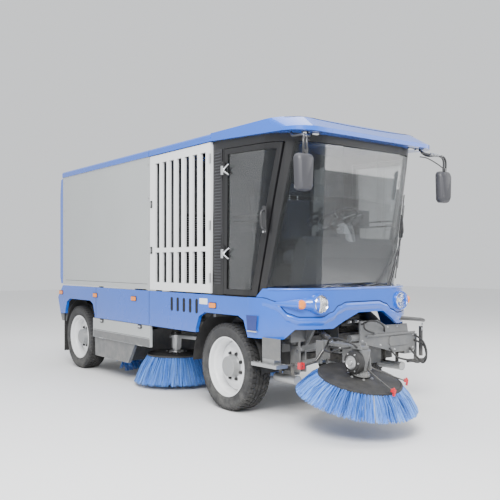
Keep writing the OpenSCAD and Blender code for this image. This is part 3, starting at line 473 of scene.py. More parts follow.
def buildWheel(side, end):
    tag = end + "_" + ("left" if side > 0 else "right")
    middle = at(side * wheelX, 0 if end == "front" else rearAxle, axleZ)
    spot = along(middle, (side, 0, 0))
    tyre = Shape()
    half = tyreShape["profile"]
    full = half + [(0.434, x) for x in (0.06, 0.0, -0.06)] + [(r, -x) for r, x in reversed(half)]
    tyre.lathe(full, spot, 120, 0, closed=True)
    rise = tyreOuter - 0.433
    for row, (offset, wide) in enumerate(tyreShape["ribs"]):
        for way in ((1, -1) if offset else (1,)):
            for b in range(tyreShape["blocks"]):
                a0 = 2 * math.pi * (b + 0.5 * (row % 2)) / tyreShape["blocks"]
                span = 2 * math.pi / tyreShape["blocks"] * (0.74 if row == 2 else 0.84)
                skew = 0.028 if row < 2 else 0.0
                x0, x1 = offset - wide / 2, offset + wide / 2
                top = 0.0 if row < 2 else 0.004
                pts = []
                for r in (0.431, 0.431 + rise):
                    for x, turn, dip in ((x0, -skew, 0), (x1, skew, top)):
                        for a in (a0 + turn, a0 + span / 2 + turn, a0 + span + turn):
                            rr = r if r < 0.432 else min(tyreOuter, r + 0.002) - dip
                            pts.append(spot @ Vector((rr * math.cos(a), rr * math.sin(a), way * x)))
                tyre.add(pts, [(6, 7, 10, 9), (7, 8, 11, 10), (0, 6, 9, 3), (2, 5, 11, 8), (0, 1, 7, 6),
                               (1, 2, 8, 7), (3, 9, 10, 4), (4, 10, 11, 5)], 1)
            if row == 2:  # shoulder lugs running down onto the sidewall
                for b in range(tyreShape["blocks"]):
                    a = 2 * math.pi * (b + 0.37) / tyreShape["blocks"]
                    w = 0.017
                    pts = []
                    for r, x in ((0.444, 0.108), (0.436, 0.1145), (0.422, 0.1215), (0.41, 0.1255)):
                        for t in (-w, w):
                            pts.append(spot @ Vector((r * math.cos(a) - t * math.sin(a),
                                                      r * math.sin(a) + t * math.cos(a), way * x)))
                    pts += [spot @ Vector((0.405 * math.cos(a) - t * math.sin(a),
                                           0.405 * math.sin(a) + t * math.cos(a), way * 0.118))
                            for t in (-w, w)]
                    tyre.add(pts, [(0, 2, 3, 1), (2, 4, 5, 3), (4, 6, 7, 5), (6, 8, 9, 7), (0, 8, 6, 2),
                                   (2, 6, 4), (1, 3, 7, 9), (3, 5, 7)], 1)
    made = tyre.piece("tread_tyre_" + tag, [tyreRubber, treadRubber], "wheel_" + tag, angle=28)
    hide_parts("tyre_" + tag)
    rim = Shape()
    rim.lathe(rimShape["lip"], spot, 96, 0, closed=True)
    rim.lathe(rimShape["disc"], spot, 96, 0)
    rim.lathe(rimShape["hub"], spot, 64, 1)
    rim.lathe([(0.0, 0.0), (0.098, 0.0), (0.098, 0.010), (0.0, 0.010)], spot, 48, 1)
    for s in range(rimShape["studs"]):
        a = 2 * math.pi * (s + 0.5) / rimShape["studs"]
        foot = spot @ Vector((rimShape["studCircle"] * math.cos(a),
                              rimShape["studCircle"] * math.sin(a), 0.016))
        # the studs are black rubber nuts: painted shade for the dark stud holes
        paintedShadeStud = along(foot, (side, 0, 0))
        rim.lathe([(0.021, 0.0), (0.021, 0.004), (0.018, 0.006)], paintedShadeStud, 20, 2)
        rim.lathe([(0.0155, 0.004), (0.0155, 0.022), (0.012, 0.025), (0.0, 0.025)], paintedShadeStud, 6, 2)
        bolt = along(spot @ Vector((0.082 * math.cos(a + 0.39), 0.082 * math.sin(a + 0.39), 0.0945)),
                     (side, 0, 0))
        rim.lathe([(0.0065, 0.0), (0.0065, 0.005), (0.0, 0.006)], bolt, 6, 1)
    valve = [spot @ Vector(p) for p in ((0.252, 0.01, -0.012), (0.25, 0.01, 0.012), (0.246, 0.01, 0.042))]
    rim.tube(valve, 0.0045, 8, 2)
    made = rim.piece("dished_rim_" + tag, [wheelSilver, hubGrey, rubberBlack], "wheel_" + tag,
                     angle=30)
    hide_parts("rim_" + tag)


for side in (1, -1):
    buildWheel(side, "front")
    buildWheel(side, "rear")
print("wheels built")

# brushes
frontBrush = {"place": turned(at(-0.55, -1.475, 0.494), 13, "X"),
              "disc": 0.3795, "tip": 0.548, "drop": 0.2, "tufts": 84, "strands": 21, "seed": 11}
sideBrush = {"disc": 0.362, "tip": 0.523, "tufts": 76, "strands": 20, "seed": 31}


def buildBristles(shape, place, disc, tip, drop, tufts, strands, seed):
    rng = random.Random(seed)
    for row, (share, lean) in enumerate(((1.0, 1.0), (0.93, 0.86))):
        for t in range(tufts):
            a = 2 * math.pi * (t + 0.5 * row + rng.uniform(-0.16, 0.16)) / tufts
            tuftShade = rng.uniform(0.38, 0.62)
            splay = rng.uniform(-0.03, 0.03)
            for s in range(strands):
                b = a + rng.uniform(-0.55, 0.55) * 2 * math.pi / tufts * 0.5
                r0 = disc * share - 0.02 + rng.uniform(-0.006, 0.006)
                end = rng.uniform(0.91, 1.0) if rng.random() < 0.8 else rng.uniform(0.78, 0.91)
                rTip = r0 + (tip * lean - r0) * end
                zTip = -drop * end * rng.uniform(0.985, 1.0)
                c = b + splay + rng.uniform(-0.05, 0.05)
                bow = rng.uniform(-0.006, 0.014)
                p0 = Vector((r0 * math.cos(b), r0 * math.sin(b), -0.004))
                p2 = Vector((rTip * math.cos(c), rTip * math.sin(c), zTip))
                p1 = (p0 + p2) / 2 + Vector((math.cos(b), math.sin(b), 0.7)) * bow
                pts = [place @ p for p in (p0, p1, p2)]
                shape.tube(pts, 0.0025, 3, 0, shade=min(1, max(0, rng.gauss(tuftShade, 0.27))))


def discProfile(r):
    return [(0.0, 0.012), (r * 0.42, 0.012), (r * 0.46, 0.007), (r * 0.965, 0.002), (r, -0.003),
            (r, -0.022), (r - 0.012, -0.026), (r - 0.05, -0.026), (r - 0.06, -0.012), (0.0, -0.012)]


bristles = Shape()
buildBristles(bristles, **{k: frontBrush[k] for k in ("place", "disc", "tip", "drop", "tufts",
                                                      "strands", "seed")})
frontStrands = bristles.piece("front_brush_bristles", [blueBristle], "front_brush",
                              angle=60)
disc = Shape()
disc.lathe(discProfile(frontBrush["disc"]), frontBrush["place"], 96, 0)
for spot in around(frontBrush["place"], frontBrush["tufts"], 0.36, 0.0):  # tuft sockets
    disc.lathe([(0.0045, 0.0), (0.0045, 0.0045), (0.0, 0.005)], spot, 8, 0)
for spot in around(frontBrush["place"], 6, 0.105, 0.012):  # hub bolts
    disc.lathe([(0.015, 0.0), (0.015, 0.003), (0.0095, 0.0035), (0.0095, 0.011), (0.0, 0.012)], spot, 12, 1)
disc.piece("front_brush_disc", [rubberBlack, galvanised], "front_brush")
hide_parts("front_brush")

for side, tag in sides:
    low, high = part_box("side_brush_" + tag)
    place = Matrix.Translation((side * 0.535, axleY + 1.635, 0.39))
    strands = Shape()
    buildBristles(strands, place, sideBrush["disc"], sideBrush["tip"], 0.39 - low.z - 0.004,
                  sideBrush["tufts"], sideBrush["strands"], sideBrush["seed"] + side)
    made = strands.piece("side_brush_bristles_" + tag, [blueBristle], "side_brush_" + tag,
                         angle=60)
    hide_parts("side_brush_" + tag)
    disc = Shape()
    disc.lathe(discProfile(sideBrush["disc"]), place, 96, 0)
    disc.lathe([(0.09, 0.012), (0.085, 0.03), (0.05, 0.034), (0.045, high.z - 0.39), (0.0, high.z - 0.39)],
               place, 40, 1)
    for spot in around(place, 6, 0.12, 0.012, 0.3):
        disc.lathe([(0.015, 0.0), (0.0095, 0.0035), (0.0095, 0.011), (0.0, 0.012)], spot, 12, 1)
    for k in range(3):  # stiffening ribs
        a = 2 * math.pi * k / 3
        rib = place @ Matrix.Rotation(a, 4, "Z")
        disc.box((0.12, -0.006, 0.006), (0.33, 0.006, 0.018), 0, rib)
    disc.piece("side_brush_disc_" + tag, [rubberBlack, galvanised], "side_brush_" + tag,
               angle=30)

roller = Shape()
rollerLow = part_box("roller_brush")[0]
rng = random.Random(7)
core = along(at(rollerLow.x, 2.64, 0.29), (1, 0, 0))
roller.lathe([(0.0, 0.0), (0.035, 0.0), (0.035, 0.03), (0.11, 0.03), (0.11, 1.45), (0.035, 1.45),
              (0.035, 1.48), (0.0, 1.48)], core, 40, 1)
for helix in range(10):
    for n in range(150):
        x = 0.035 + 1.41 * n / 149
        a = 2 * math.pi * helix / 10 + 1.6 * x
        shade = rng.uniform(0.25, 0.75)
        for s in range(4):
            b = a + rng.uniform(-0.05, 0.05)
            r = 0.239 * rng.uniform(0.95, 1.0)
            xe = min(1.47, max(0.01, x + rng.uniform(-0.012, 0.012)))
            ends = [Vector((0.105 * math.cos(b), 0.105 * math.sin(b), x)),
                    Vector((r * math.cos(b + 0.05), r * math.sin(b + 0.05), xe))]
            roller.tube([core @ p for p in ends], 0.0018, 3, 0, shade=rng.gauss(shade, 0.1))
made = roller.piece("roller_bristles", [blueBristle, chassisBlack], "roller_brush",
                    angle=60)
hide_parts("roller_brush")
print("brushes built")

# nose, lamps and bumper
nose = {"front": -1.0, "corner": 0.6, "seam": [(0, 1.128), (0.23, 1.128), (0.33, 1.10), (0.43, 1.035),
                                               (0.54, 0.996), (0.74, 0.998), (0.82, 1.03), (0.9, 1.145),
                                               (0.955, 1.178)]}


def noseY(x):
    reach = max(0.0, abs(x) - (halfWidth - nose["corner"]))
    return nose["front"] + nose["corner"] - math.sqrt(max(0.0, nose["corner"] ** 2 - reach ** 2))


def noseOut(x):
    reach = max(0.0, abs(x) - (halfWidth - nose["corner"]))
    return Vector((math.copysign(reach, x), -math.sqrt(nose["corner"] ** 2 - reach ** 2), 0)).normalized()


def between(table, x):
    for (x0, z0), (x1, z1) in zip(table, table[1:]):
        if x <= x1:
            t = (x - x0) / (x1 - x0)
            t = t * t * (3 - 2 * t)
            return z0 + (z1 - z0) * t
    return table[-1][1]


seamReach = nose["seam"][-1][0]
lip = Shape()
section = [(-0.004, 0.0), (0.004, -0.004), (0.013, -0.016), (0.016, -0.032), (0.013, -0.06),
           (-0.004, -0.085)]
slices = 97
ring = []
for i in range(slices):
    x = seamReach * (2 * i / (slices - 1) - 1)
    z = between(nose["seam"], abs(x))
    fade = min(1.0, (0.957 - abs(x)) / 0.07)
    for out, drop in section:
        ring.append(at(x, noseY(x), z + drop - 0.003) + noseOut(x) * (out * (0.25 + 0.75 * fade)))
n = len(section)
lip.add(ring, [(i * n + k, (i + 1) * n + k, (i + 1) * n + k + 1, i * n + k + 1) for i in range(slices - 1)
               for k in range(n - 1)])
lip.piece("bumper_lip", [bluePaint], "truck", angle=50)
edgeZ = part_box("nose_panel")[1].z
rim = Shape()
rim.tube([at(x, noseY(x) + 0.006, edgeZ - 0.006) for x in [-0.93 + 1.86 * i / 96 for i in range(97)]],
         0.0135, 10)
rim.piece("nose_top_edge", [bluePaint], "truck", angle=60)
seams = Shape()
seams.tube([at(x, noseY(x), between(nose["seam"], abs(x))) + noseOut(x) * 0.001
            for x in [seamReach * (2 * i / (slices - 1) - 1) for i in range(slices)]], 0.0035, 6)
for side in (1, -1):
    x = side * (halfWidth + 0.0004)
    seams.box((x - 0.002, axleY - 0.40, 1.172), (x + 0.002, axleY + cabBack, 1.178))
seams.piece("nose_seam", [darkVoid], "truck")

headLamp = {"x": 0.575, "z": 1.118, "proud": 0.02, "scale": 1.14}
turnLamp = {"x": 0.752, "z": 1.117, "proud": 0.046, "scale": 1.16}
eyes = Shape()


def lampFace(side):
    spot = at(side * headLamp["x"], noseY(headLamp["x"]) - headLamp["proud"], headLamp["z"])
    return along(spot, (0, -1, 0.02)) @ Matrix.Scale(headLamp["scale"], 4)


for side in (1, -1):
    face = lampFace(side)
    eyes.lathe([(0.088, -0.05), (0.0885, 0.0), (0.086, 0.016), (0.081, 0.023), (0.076, 0.022),
                (0.0725, 0.012)], face, 64, 0)
    eyes.lathe([(0.073, 0.004), (0.0725, 0.020), (0.069, 0.0235), (0.0655, 0.019), (0.064, 0.004)], face,
               64, 1)
    eyes.lathe([(0.0645, 0.014), (0.056, 0.004), (0.04, -0.002), (0.02, -0.005), (0.0, -0.005)], face, 48,
               1)
    eyes.lathe([(0.02, -0.006), (0.02, 0.004), (0.015, 0.011), (0.006, 0.014), (0.0, 0.0145)], face, 24, 2)
    route, radii = [], []
    for k in range(13):
        t = k / 12
        x = 0.585 + 0.235 * t
        route.append(at(side * x, noseY(x) + 0.006 + 0.02 * t, 1.118 + 0.004 * t))
        radii.append(0.083 * (1 - t) ** 0.75 + 0.004)
    eyes.tube(route, radii, 32, 0)
    route, radii = [], []
    for k in range(13):
        t = k / 12
        x = 0.762 + 0.175 * t
        route.append(at(side * x, noseY(x) - 0.036 * (1 - t) + 0.012 * t, 1.117 + 0.006 * t))
        radii.append(0.045 * (1 - t) ** 0.7 + 0.003)
    eyes.tube(route, radii, 28, 0)
    spot = at(side * turnLamp["x"], noseY(0.758) - turnLamp["proud"], turnLamp["z"])
    face = along(spot, (side * 0.08, -1, 0)) @ Matrix.Scale(turnLamp["scale"], 4)
    eyes.lathe([(0.046, -0.02), (0.0455, 0.004), (0.041, 0.008), (0.038, 0.004)], face, 40, 0)
    eyes.lathe([(0.039, 0.0), (0.0385, 0.014), (0.033, 0.026), (0.02, 0.033), (0.0, 0.035)], face, 40, 3)
made = eyes.piece("head_and_turn_lamps", [bluePaint, chrome, labelWhite, amberLens], "truck",
                  angle=32)
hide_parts("lamps")
lenses = Shape()
for side in (1, -1):
    face = lampFace(side)
    lenses.lathe([(0.066, 0.0165), (0.052, 0.025), (0.03, 0.0305), (0.0, 0.033), (0.0, 0.030),
                  (0.03, 0.0275), (0.05, 0.022), (0.064, 0.0145)], face, 48, 0, closed=True)
lenses.piece("headlamp_glass", [clearLens], "truck")
tailLamp = {"y": 4.298, "z": 0.87, "lenses": ((0.658, 1), (0.768, 2))}
tail = Shape()
for side in (1, -1):
    for x, look in tailLamp["lenses"]:
        face = along(at(side * x, tailLamp["y"], tailLamp["z"]), (0, 1, 0))
        tail.lathe([(0.049, -0.004), (0.049, 0.004), (0.0455, 0.006), (0.044, 0.002)], face, 40, 0)
        tail.lathe([(0.0445, 0.002), (0.043, 0.008), (0.034, 0.0105), (0.033, 0.009), (0.02, 0.0105),
                    (0.0, 0.011)], face, 40, look)
tail.piece("tail_lamps", [rubberBlack, redLens, amberLens], "truck", angle=32)
print("nose and lamps built")

# roof
roofSeam = {"x": 0.93, "back": 0.18, "run": 1.0148}
roofTrim = Shape()
outline = []
for k in range(61):  # seam that runs round the visor, laid on the roof's own surface
    t = k / 60
    if t < 0.3:
        p = (-roofSeam["x"], roofSeam["back"] - roofSeam["run"] * t / 0.3)
    elif t > 0.7:
        p = (roofSeam["x"], roofSeam["back"] - roofSeam["run"] * (1 - t) / 0.3)
    else:
        a = math.pi * (t - 0.3) / 0.4
        p = (-roofSeam["x"] * math.cos(a), -0.8348 - 0.19 * math.sin(a) ** 0.6)
    outline.append(p)
route = []
for x, y in outline:
    point = hit("cab_roof", at(x, y, 3.2), (0, 0, -1))[0]
    if point is not None:
        route.append(point)
roofTrim.tube(route, 0.0035, 6)
for y in (cabBack - 0.004, 1.5105):  # joints between the roof sections
    for side in (1, -1):  # a small stud at each end of the joint
        stud = side * 0.99
        roofTrim.box((stud, 0, 0), (stud + 0.001, 0.001, 0.001), 0, Matrix.Translation(at(0, y, 2.78)))
    points = []
    for k in range(25):
        x = -0.985 + 1.97 * k / 24
        point = None
        for node in ("cab_roof", "bay_roof", "hopper_roof"):
            found = hit(node, at(x, y - 0.006 if node != "hopper_roof" else y + 0.008, 3.2), (0, 0, -1))[0]
            if found is not None:
                point = found
        if point is not None:
            points.append(Vector((x, y + axleY, point.z)))
    if len(points) > 2:
        ends = [Vector((points[0].x, points[0].y, 2.79)), Vector((points[-1].x, points[-1].y, 2.79))]
        roofTrim.tube([ends[0]] + points + [ends[1]], 0.004, 6)
roofTrim.piece("roof_seams", [darkVoid], "truck")
visor = {"lamps": (0.68, 0.80), "y": -1.04}
visorLamps = Shape()
for side in (1, -1):
    for x in visor["lamps"]:
        point = hit("cab_roof", at(side * x, visor["y"], 2.0), (0, 0, 1))[0]
        if point is None:
            continue
        flat = along(point + Vector((0, 0, 0.004)), (0, -0.15, -1), up=(1, 0, 0))
        visorLamps.prism(roundedRect(0.05, 0.085, 0.024, 8), 0.012, flat, 0)
        visorLamps.prism(roundedRect(0.036, 0.07, 0.0175, 8), 0.017, flat, 1)
visorLamps.piece("visor_lamps", [rubberBlack, labelWhite], "truck", bevel=0.002)

# mirrors
mirror = {"wide": 0.2, "tall": 0.33, "deep": 0.088, "x": 0.993, "y": -1.236, "z": 2.305,
          "arms": ((-0.012, (0.80, -1.06, 2.70)), (0.026, (0.93, -0.98, 2.70)))}
shells = Shape()
for side in (1, -1):
    heart = at(side * mirror["x"], mirror["y"] - mirror["deep"] / 2, mirror["z"])
    layers = [(0.0, 0.72, 0.80), (0.012, 0.86, 0.9), (0.034, 0.965, 0.975), (0.06, 1.0, 1.0),
              (0.08, 1.0, 1.0), (0.088, 0.985, 0.99)]
    outlines = []
    for y, sx, sz in layers:
        ring = roundedRect(mirror["wide"] * sx, mirror["tall"] * sz, 0.052 * sx, 6)
        outlines.append([heart + Vector((u * (1 - 0.15 * (0.5 - v / mirror["tall"])),
                                         y + 0.012 * abs(u) / 0.1 * (y < 0.03), v)) for u, v in ring])
    m = len(outlines[0])
    pts = [p for ring in outlines for p in ring]
    faces = [(i * m + k, i * m + (k + 1) % m, (i + 1) * m + (k + 1) % m, (i + 1) * m + k)
             for i in range(len(layers) - 1) for k in range(m)]
    faces += [tuple(reversed(range(m))), tuple((len(layers) - 1) * m + k for k in range(m))]
    shells.add(pts, faces, 0)
    back = turned(heart + Vector((0, mirror["deep"] - 0.001, 0.045)), -90, "X")
    shells.prism(roundedRect(0.17, 0.205, 0.03, 6), 0.002, back, 1)
    back = turned(heart + Vector((0, mirror["deep"] - 0.001, -0.115)), -90, "X")
    shells.prism(roundedRect(0.17, 0.075, 0.026, 6), 0.002, back, 1)
    shells.box((side * mirror["x"] - 0.014, axleY - 1.252, 2.455),
               (side * mirror["x"] + 0.014, axleY - 1.218, 2.50), 2)
    for dx, (x, y, z) in mirror["arms"]:
        route = [at(side * x, y, z), at(side * (x + 0.03), y - 0.06, 2.655)]
        route += [at(side * (0.955 + dx), -1.20, 2.635), at(side * (0.985 + dx), -1.236, 2.585)]
        route += [at(side * (0.985 + dx), -1.237, 2.47)]
        shells.tube(route, 0.0105, 12, 2, smooth=6)
    shells.tube([at(side * 0.79, -1.075, 2.625), at(side * 0.86, -1.12, 2.61), at(side * 0.93, -1.19, 2.55),
                 at(side * 0.972, -1.236, 2.50)], 0.006, 10, 2, smooth=6)
    if side > 0:
        for k in range(7):
            shells.lathe([(0.014, 0), (0.0185, 0.004), (0.0185, 0.009), (0.014, 0.013)],
                         along(at(0.865 + 0.014 * k, -1.15 - 0.008 * k, 2.649 - 0.002 * k),
                               (1, -0.6, -0.1)), 20, 3)
made = shells.piece("mirrors_and_arms", [mirrorCase, chrome, blackSteel, galvanised], "truck",
                    angle=40)
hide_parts("mirrors")


# windscreen
def onScreen(x, z, lift=0.0):
    point, normal = hit("windscreen", at(x, -2.2, z), (0, 1, 0))
    if point is None:
        return at(x, -0.95, z)
    return point + (normal if normal.y < 0 else -normal) * lift


# foot, end of the arm and ends of the blade, as x and z on the screen
wiperSet = (((0.42, 1.235), (0.70, 1.78), ((0.735, 1.34), (0.76, 2.24))),
            ((-0.12, 1.235), (0.30, 1.30), ((-0.08, 1.262), (0.66, 1.275))))
wiper = Shape()
for foot, top, blade in wiperSet:
    hub = along(onScreen(*foot, 0.012), onScreen(*foot, 1.0) - onScreen(*foot, 0.0))
    wiper.lathe([(0.022, -0.02), (0.022, 0.012), (0.016, 0.02), (0.0, 0.022)], hub, 24)
    wiper.tube([onScreen(*foot, 0.03), onScreen((foot[0] + top[0]) / 2, (foot[1] + top[1]) / 2, 0.045),
                onScreen(*top, 0.035)], [0.011, 0.008, 0.006], 10)
    wiper.tube([onScreen(foot[0] + 0.035, foot[1] + 0.01, 0.02),
                onScreen(top[0] + 0.01, top[1] - 0.12, 0.03)], 0.005, 8)
    (x0, z0), (x1, z1) = blade
    wiper.tube([onScreen(x0 + (x1 - x0) * k / 12, z0 + (z1 - z0) * k / 12, 0.012) for k in range(13)],
               0.006, 8)
    wiper.tube([onScreen(x0 + (x1 - x0) * k / 8, z0 + (z1 - z0) * k / 8, 0.024) for k in range(1, 8)],
               0.0045, 6)
wiper.piece("wipers", [blackSteel], "truck", angle=40)
print("roof, mirrors and wipers built")

# doors
doorGear = {"hinges": (1.6, 2.45), "rails": (1.92, 1.975), "handle": (-0.655, 1.915)}
for side, tag in sides:
    trim = Shape()
    handleY, handleZ = doorGear["handle"]
    trim.tube([at(side * 0.978, -0.66, 1.82), at(side * 1.015, -0.66, 1.85), at(side * 1.02, -0.655, 1.91),
               at(side * 1.015, -0.65, 1.98), at(side * 0.978, -0.65, 2.01)], 0.011, 12, 0, smooth=5)
    plate = turned(at(side * 0.985, handleY, handleZ), 90)
    trim.prism(roundedRect(0.26, 0.055, 0.02, 5), 0.006, plate, 0)
    trim.lathe([(0.011, 0), (0.011, 0.007), (0.0, 0.008)], along(at(side * 0.989, handleY, 1.80),
                                                                 (side, 0, 0)), 20, 1)
    for z in doorGear["hinges"]:
        for lean in (1, -1):
            trim.tube([at(side * 0.99, 0.005, z), at(side * 0.992, -0.10, z + 0.055 * lean)],
                      [0.012, 0.007], 12, 1)
        trim.lathe([(0.017, -0.045), (0.017, 0.045)], Matrix.Translation(at(side * 0.99, 0.012, z)), 20,
                   1, caps=True)
    for z in doorGear["rails"]:  # grab rails inside the door
        trim.tube([at(side * 0.93, -0.60, z), at(side * 0.905, -0.56, z), at(side * 0.905, -0.14, z),
                   at(side * 0.93, -0.10, z)], 0.009, 10, 0)
    trim.piece("door_fittings_" + tag, [blackSteel, chrome], "cab_door_" + tag, angle=40)

intake = {"fins": 44, "low": 1.3, "height": 1.34, "tilt": 28}
pillar = Shape()
for side in (1, -1):
    found = hit("cab_frame", at(side * 1.4, 0.12, 2.2), (-side, 0, 0))[0]
    faceX = abs(found.x) if found is not None else 0.98
    pillar.box((side * (faceX + 0.001) - 0.003, axleY + 0.055, 1.26),
               (side * (faceX + 0.001) + 0.003, axleY + 0.19, 2.68), 0)
    for k in range(intake["fins"]):
        z = intake["low"] + intake["height"] * k / (intake["fins"] - 1)
        tilt = turned(at(side * (faceX + 0.006), 0.1225, z), side * intake["tilt"])
        pillar.box((-0.008, -0.058, -0.004), (0.008, 0.058, 0.004), 1, tilt)
pillar.piece("pillar_intakes", [chassisBlack, mirrorCase], "truck", bevel=0.001)

# side panels
louvre = {"rows": ((1.28, 1.63), (1.68, 2.676)), "columns": 7, "first": 0.3845, "pitch": 0.16,
          "latches": (1.655, 2.2), "hinges": (1.35, 1.9, 2.6)}
for side, tag in sides:
    latch = Shape()
    for z in louvre["latches"]:
        spot = turned(at(side * 0.988, 1.462, z), side * 90)
        latch.prism(roundedRect(0.085, 0.04, 0.012, 4), 0.008, spot, 0)
        latch.prism(roundedRect(0.05, 0.018, 0.008, 4), 0.013, spot, 1)
    for z in louvre["hinges"]:
        latch.lathe([(0.012, -0.05), (0.012, 0.05)], Matrix.Translation(at(side * 0.992, 0.232, z)), 16,
                    1, caps=True)
    latch.piece("louvre_latches_" + tag, [rubberBlack, galvanised], "louvre_" + tag,
                bevel=0.0015)
    fin = Shape()
    for z0, z1 in louvre["rows"]:
        for c in range(louvre["columns"]):
            y = louvre["first"] + louvre["pitch"] * c
            for k in range(2):
                turn = turned(at(side * 0.958, y + 0.03 * (k - 0.5) * 2, 0), side * 38, "Z")
                fin.box((-0.0015, -0.022, z0 - 0.01), (0.0015, 0.022, z1 + 0.01), 0, turn)
    fin.piece("louvre_fins_" + tag, [chassisBlack], "louvre_" + tag, smooth=False)

skirtMark = {"slots": 5, "slotY": 0.49, "slotPitch": 0.128, "slotZ": 1.042,
             "markers": (0.185, 1.9, 3.0, 4.18), "seams": (1.52, 2.98)}
skirt = Shape()
skirtX = halfWidth
for side in (1, -1):
    for k in range(skirtMark["slots"]):
        y = skirtMark["slotY"] + skirtMark["slotPitch"] * k
        slotPlace = turned(at(side * (skirtX - 0.001), y, skirtMark["slotZ"]), side * 90)
        skirt.prism(roundedRect(0.158, 0.052, 0.022, 6), 0.0025, slotPlace, 0)
        skirt.prism(roundedRect(0.172, 0.066, 0.028, 6), 0.0015, slotPlace, 1)
    spot = turned(at(side * (skirtX - 0.001), 0.36, 1.10), side * 90)
    skirt.prism(roundedRect(0.062, 0.15, 0.006, 3), 0.003, spot, 2)
    for y in skirtMark["markers"]:
        spot = turned(at(side * (skirtX - 0.002), y, 1.065), side * 90)
        skirt.prism(roundedRect(0.062, 0.13, 0.014, 4), 0.008, spot, 3)
        skirt.prism(roundedRect(0.05, 0.116, 0.012, 4), 0.014, spot, 4)
    for y in skirtMark["seams"]:
        skirt.box((side * skirtX - 0.0015, axleY + y - 0.003, 0.78),
                  (side * skirtX + 0.0015, axleY + y + 0.003, 1.17), 0)
    # the dark blue plate on the step pocket is painted shade
    spot = turned(at(side * (skirtX - 0.001), -0.48, 0.925), side * 90)
    pocket = [(-0.075, -0.075), (-0.075, 0.095), (0.075, 0.075), (0.075, -0.06)]
    skirt.prism(pocket if side > 0 else [(-u, v) for u, v in reversed(pocket)], 0.003, spot, 5)
    skirt.box((side * skirtX - 0.012, axleY - 0.555, 0.842), (side * skirtX + 0.012, axleY - 0.41, 0.854),
              6)
skirt.piece("skirt_trim", [darkVoid, bluePaint, labelWhite, rubberBlack, amberLens, paintedShadeBlue, chrome],
            "truck", bevel=0.001)

# middle, half length, rise, depth
arches = ((0.03, 0.60, 0.56, 0.44), (rearAxle - 0.04, 0.56, 0.535, 0.40))
liners = Shape()
for side in (1, -1):
    for y, span, rise, depth in arches:
        route = [(y + span * math.cos(a), 0.446 + rise * math.sin(a))
                 for a in [math.pi * k / 24 for k in range(25)]]
        a, b = side * (skirtX - 0.045), side * (skirtX - depth)
        pts = [at(x, yy, min(zz, 0.995)) for x in (a, b) for yy, zz in route]
        liners.add(pts, [(k, k + 1, 26 + k, 25 + k) for k in range(24)], 0)
liners.piece("wheel_arch_liners", [rubberBlack], "truck", angle=60)
mudflap = {"x": 0.84, "behind": 0.50, "ribs": 5}
flaps = Shape()
for side in (1, -1):
    x, y = side * mudflap["x"], axleY + rearAxle + mudflap["behind"]
    flaps.box((x - 0.13, y, 0.20), (x + 0.13, y + 0.008, 0.80), 0)
    for k in range(mudflap["ribs"]):
        rib = x - 0.11 + 0.05 * k
        flaps.box((rib, y + 0.008, 0.26), (rib + 0.015, y + 0.013, 0.72), 0)
flaps.piece("mudflaps", [rubberBlack], "truck", bevel=0.002)
print("side panels built")

# covers over the roller
coverGear = {"latches": (1.75, 2.8)}
for side, tag in sides:
    low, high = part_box("roller_cover_" + tag)
    cover = Shape()
    x = side * 0.984
    for y in coverGear["latches"]:
        spot = turned(at(x, y, 0.73), side * 90)
        cover.prism(roundedRect(0.05, 0.09, 0.012, 4), 0.010, spot, 0)
        cover.prism(roundedRect(0.022, 0.06, 0.008, 4), 0.017, spot, 1)
    cover.box((x - 0.0015, low.y + 0.02, 0.60), (x + 0.0015, high.y - 0.02, 0.604), 2)
    slope = [(low.y + 0.01, 0.50), (high.y - 0.01, 0.50), (high.y - 0.01, 0.592), (low.y + 0.01, 0.592)]
    cover.add([Vector((x + side * 0.0012, y, z)) for y, z in slope], [(0, 1, 2, 3)], 3)
    cover.piece("cover_latches_" + tag, [rubberBlack, chrome, darkVoid, greyPaint], "cover_" + tag,
                bevel=0.001)

# steps
stepMark = {"rows": 9, "across": 3, "pitch": 0.042, "brackets": (-0.62, -0.80)}
stepTrim = Shape()
for side in (1, -1):
    for k in range(stepMark["rows"]):
        for m in range(stepMark["across"]):
            x, y = 0.865 + stepMark["pitch"] * m, stepMark["pitch"] * k - 0.80
            spot = turned(at(side * x, y, 0.5535), 45 if (k + m) % 2 else -45, "Z")
            stepTrim.box((-0.011, -0.003, 0), (0.011, 0.003, 0.003), 0, spot)
    stepTrim.tube([at(side * 0.75, -0.56, 0.40), at(side * 0.75, -0.87, 0.40)], 0.043, 32, 0)
    stepTrim.lathe([(0.046, -0.012), (0.046, 0.012)], along(at(side * 0.75, -0.86, 0.40), (0, 1, 0)), 32, 0)
    for y in stepMark["brackets"]:
        stepTrim.box((side * 0.75 - 0.006, axleY + y - 0.02, 0.43),
                     (side * 0.75 + 0.006, axleY + y + 0.02, 0.56), 1)
        stepTrim.box((min(side * 0.744, side * 0.85), axleY + y - 0.02, 0.535),
                     (max(side * 0.744, side * 0.85), axleY + y + 0.02, 0.547), 1)
stepTrim.piece("step_treads", [galvanised, chassisBlack], "truck", bevel=0.001)
print("covers and steps built")

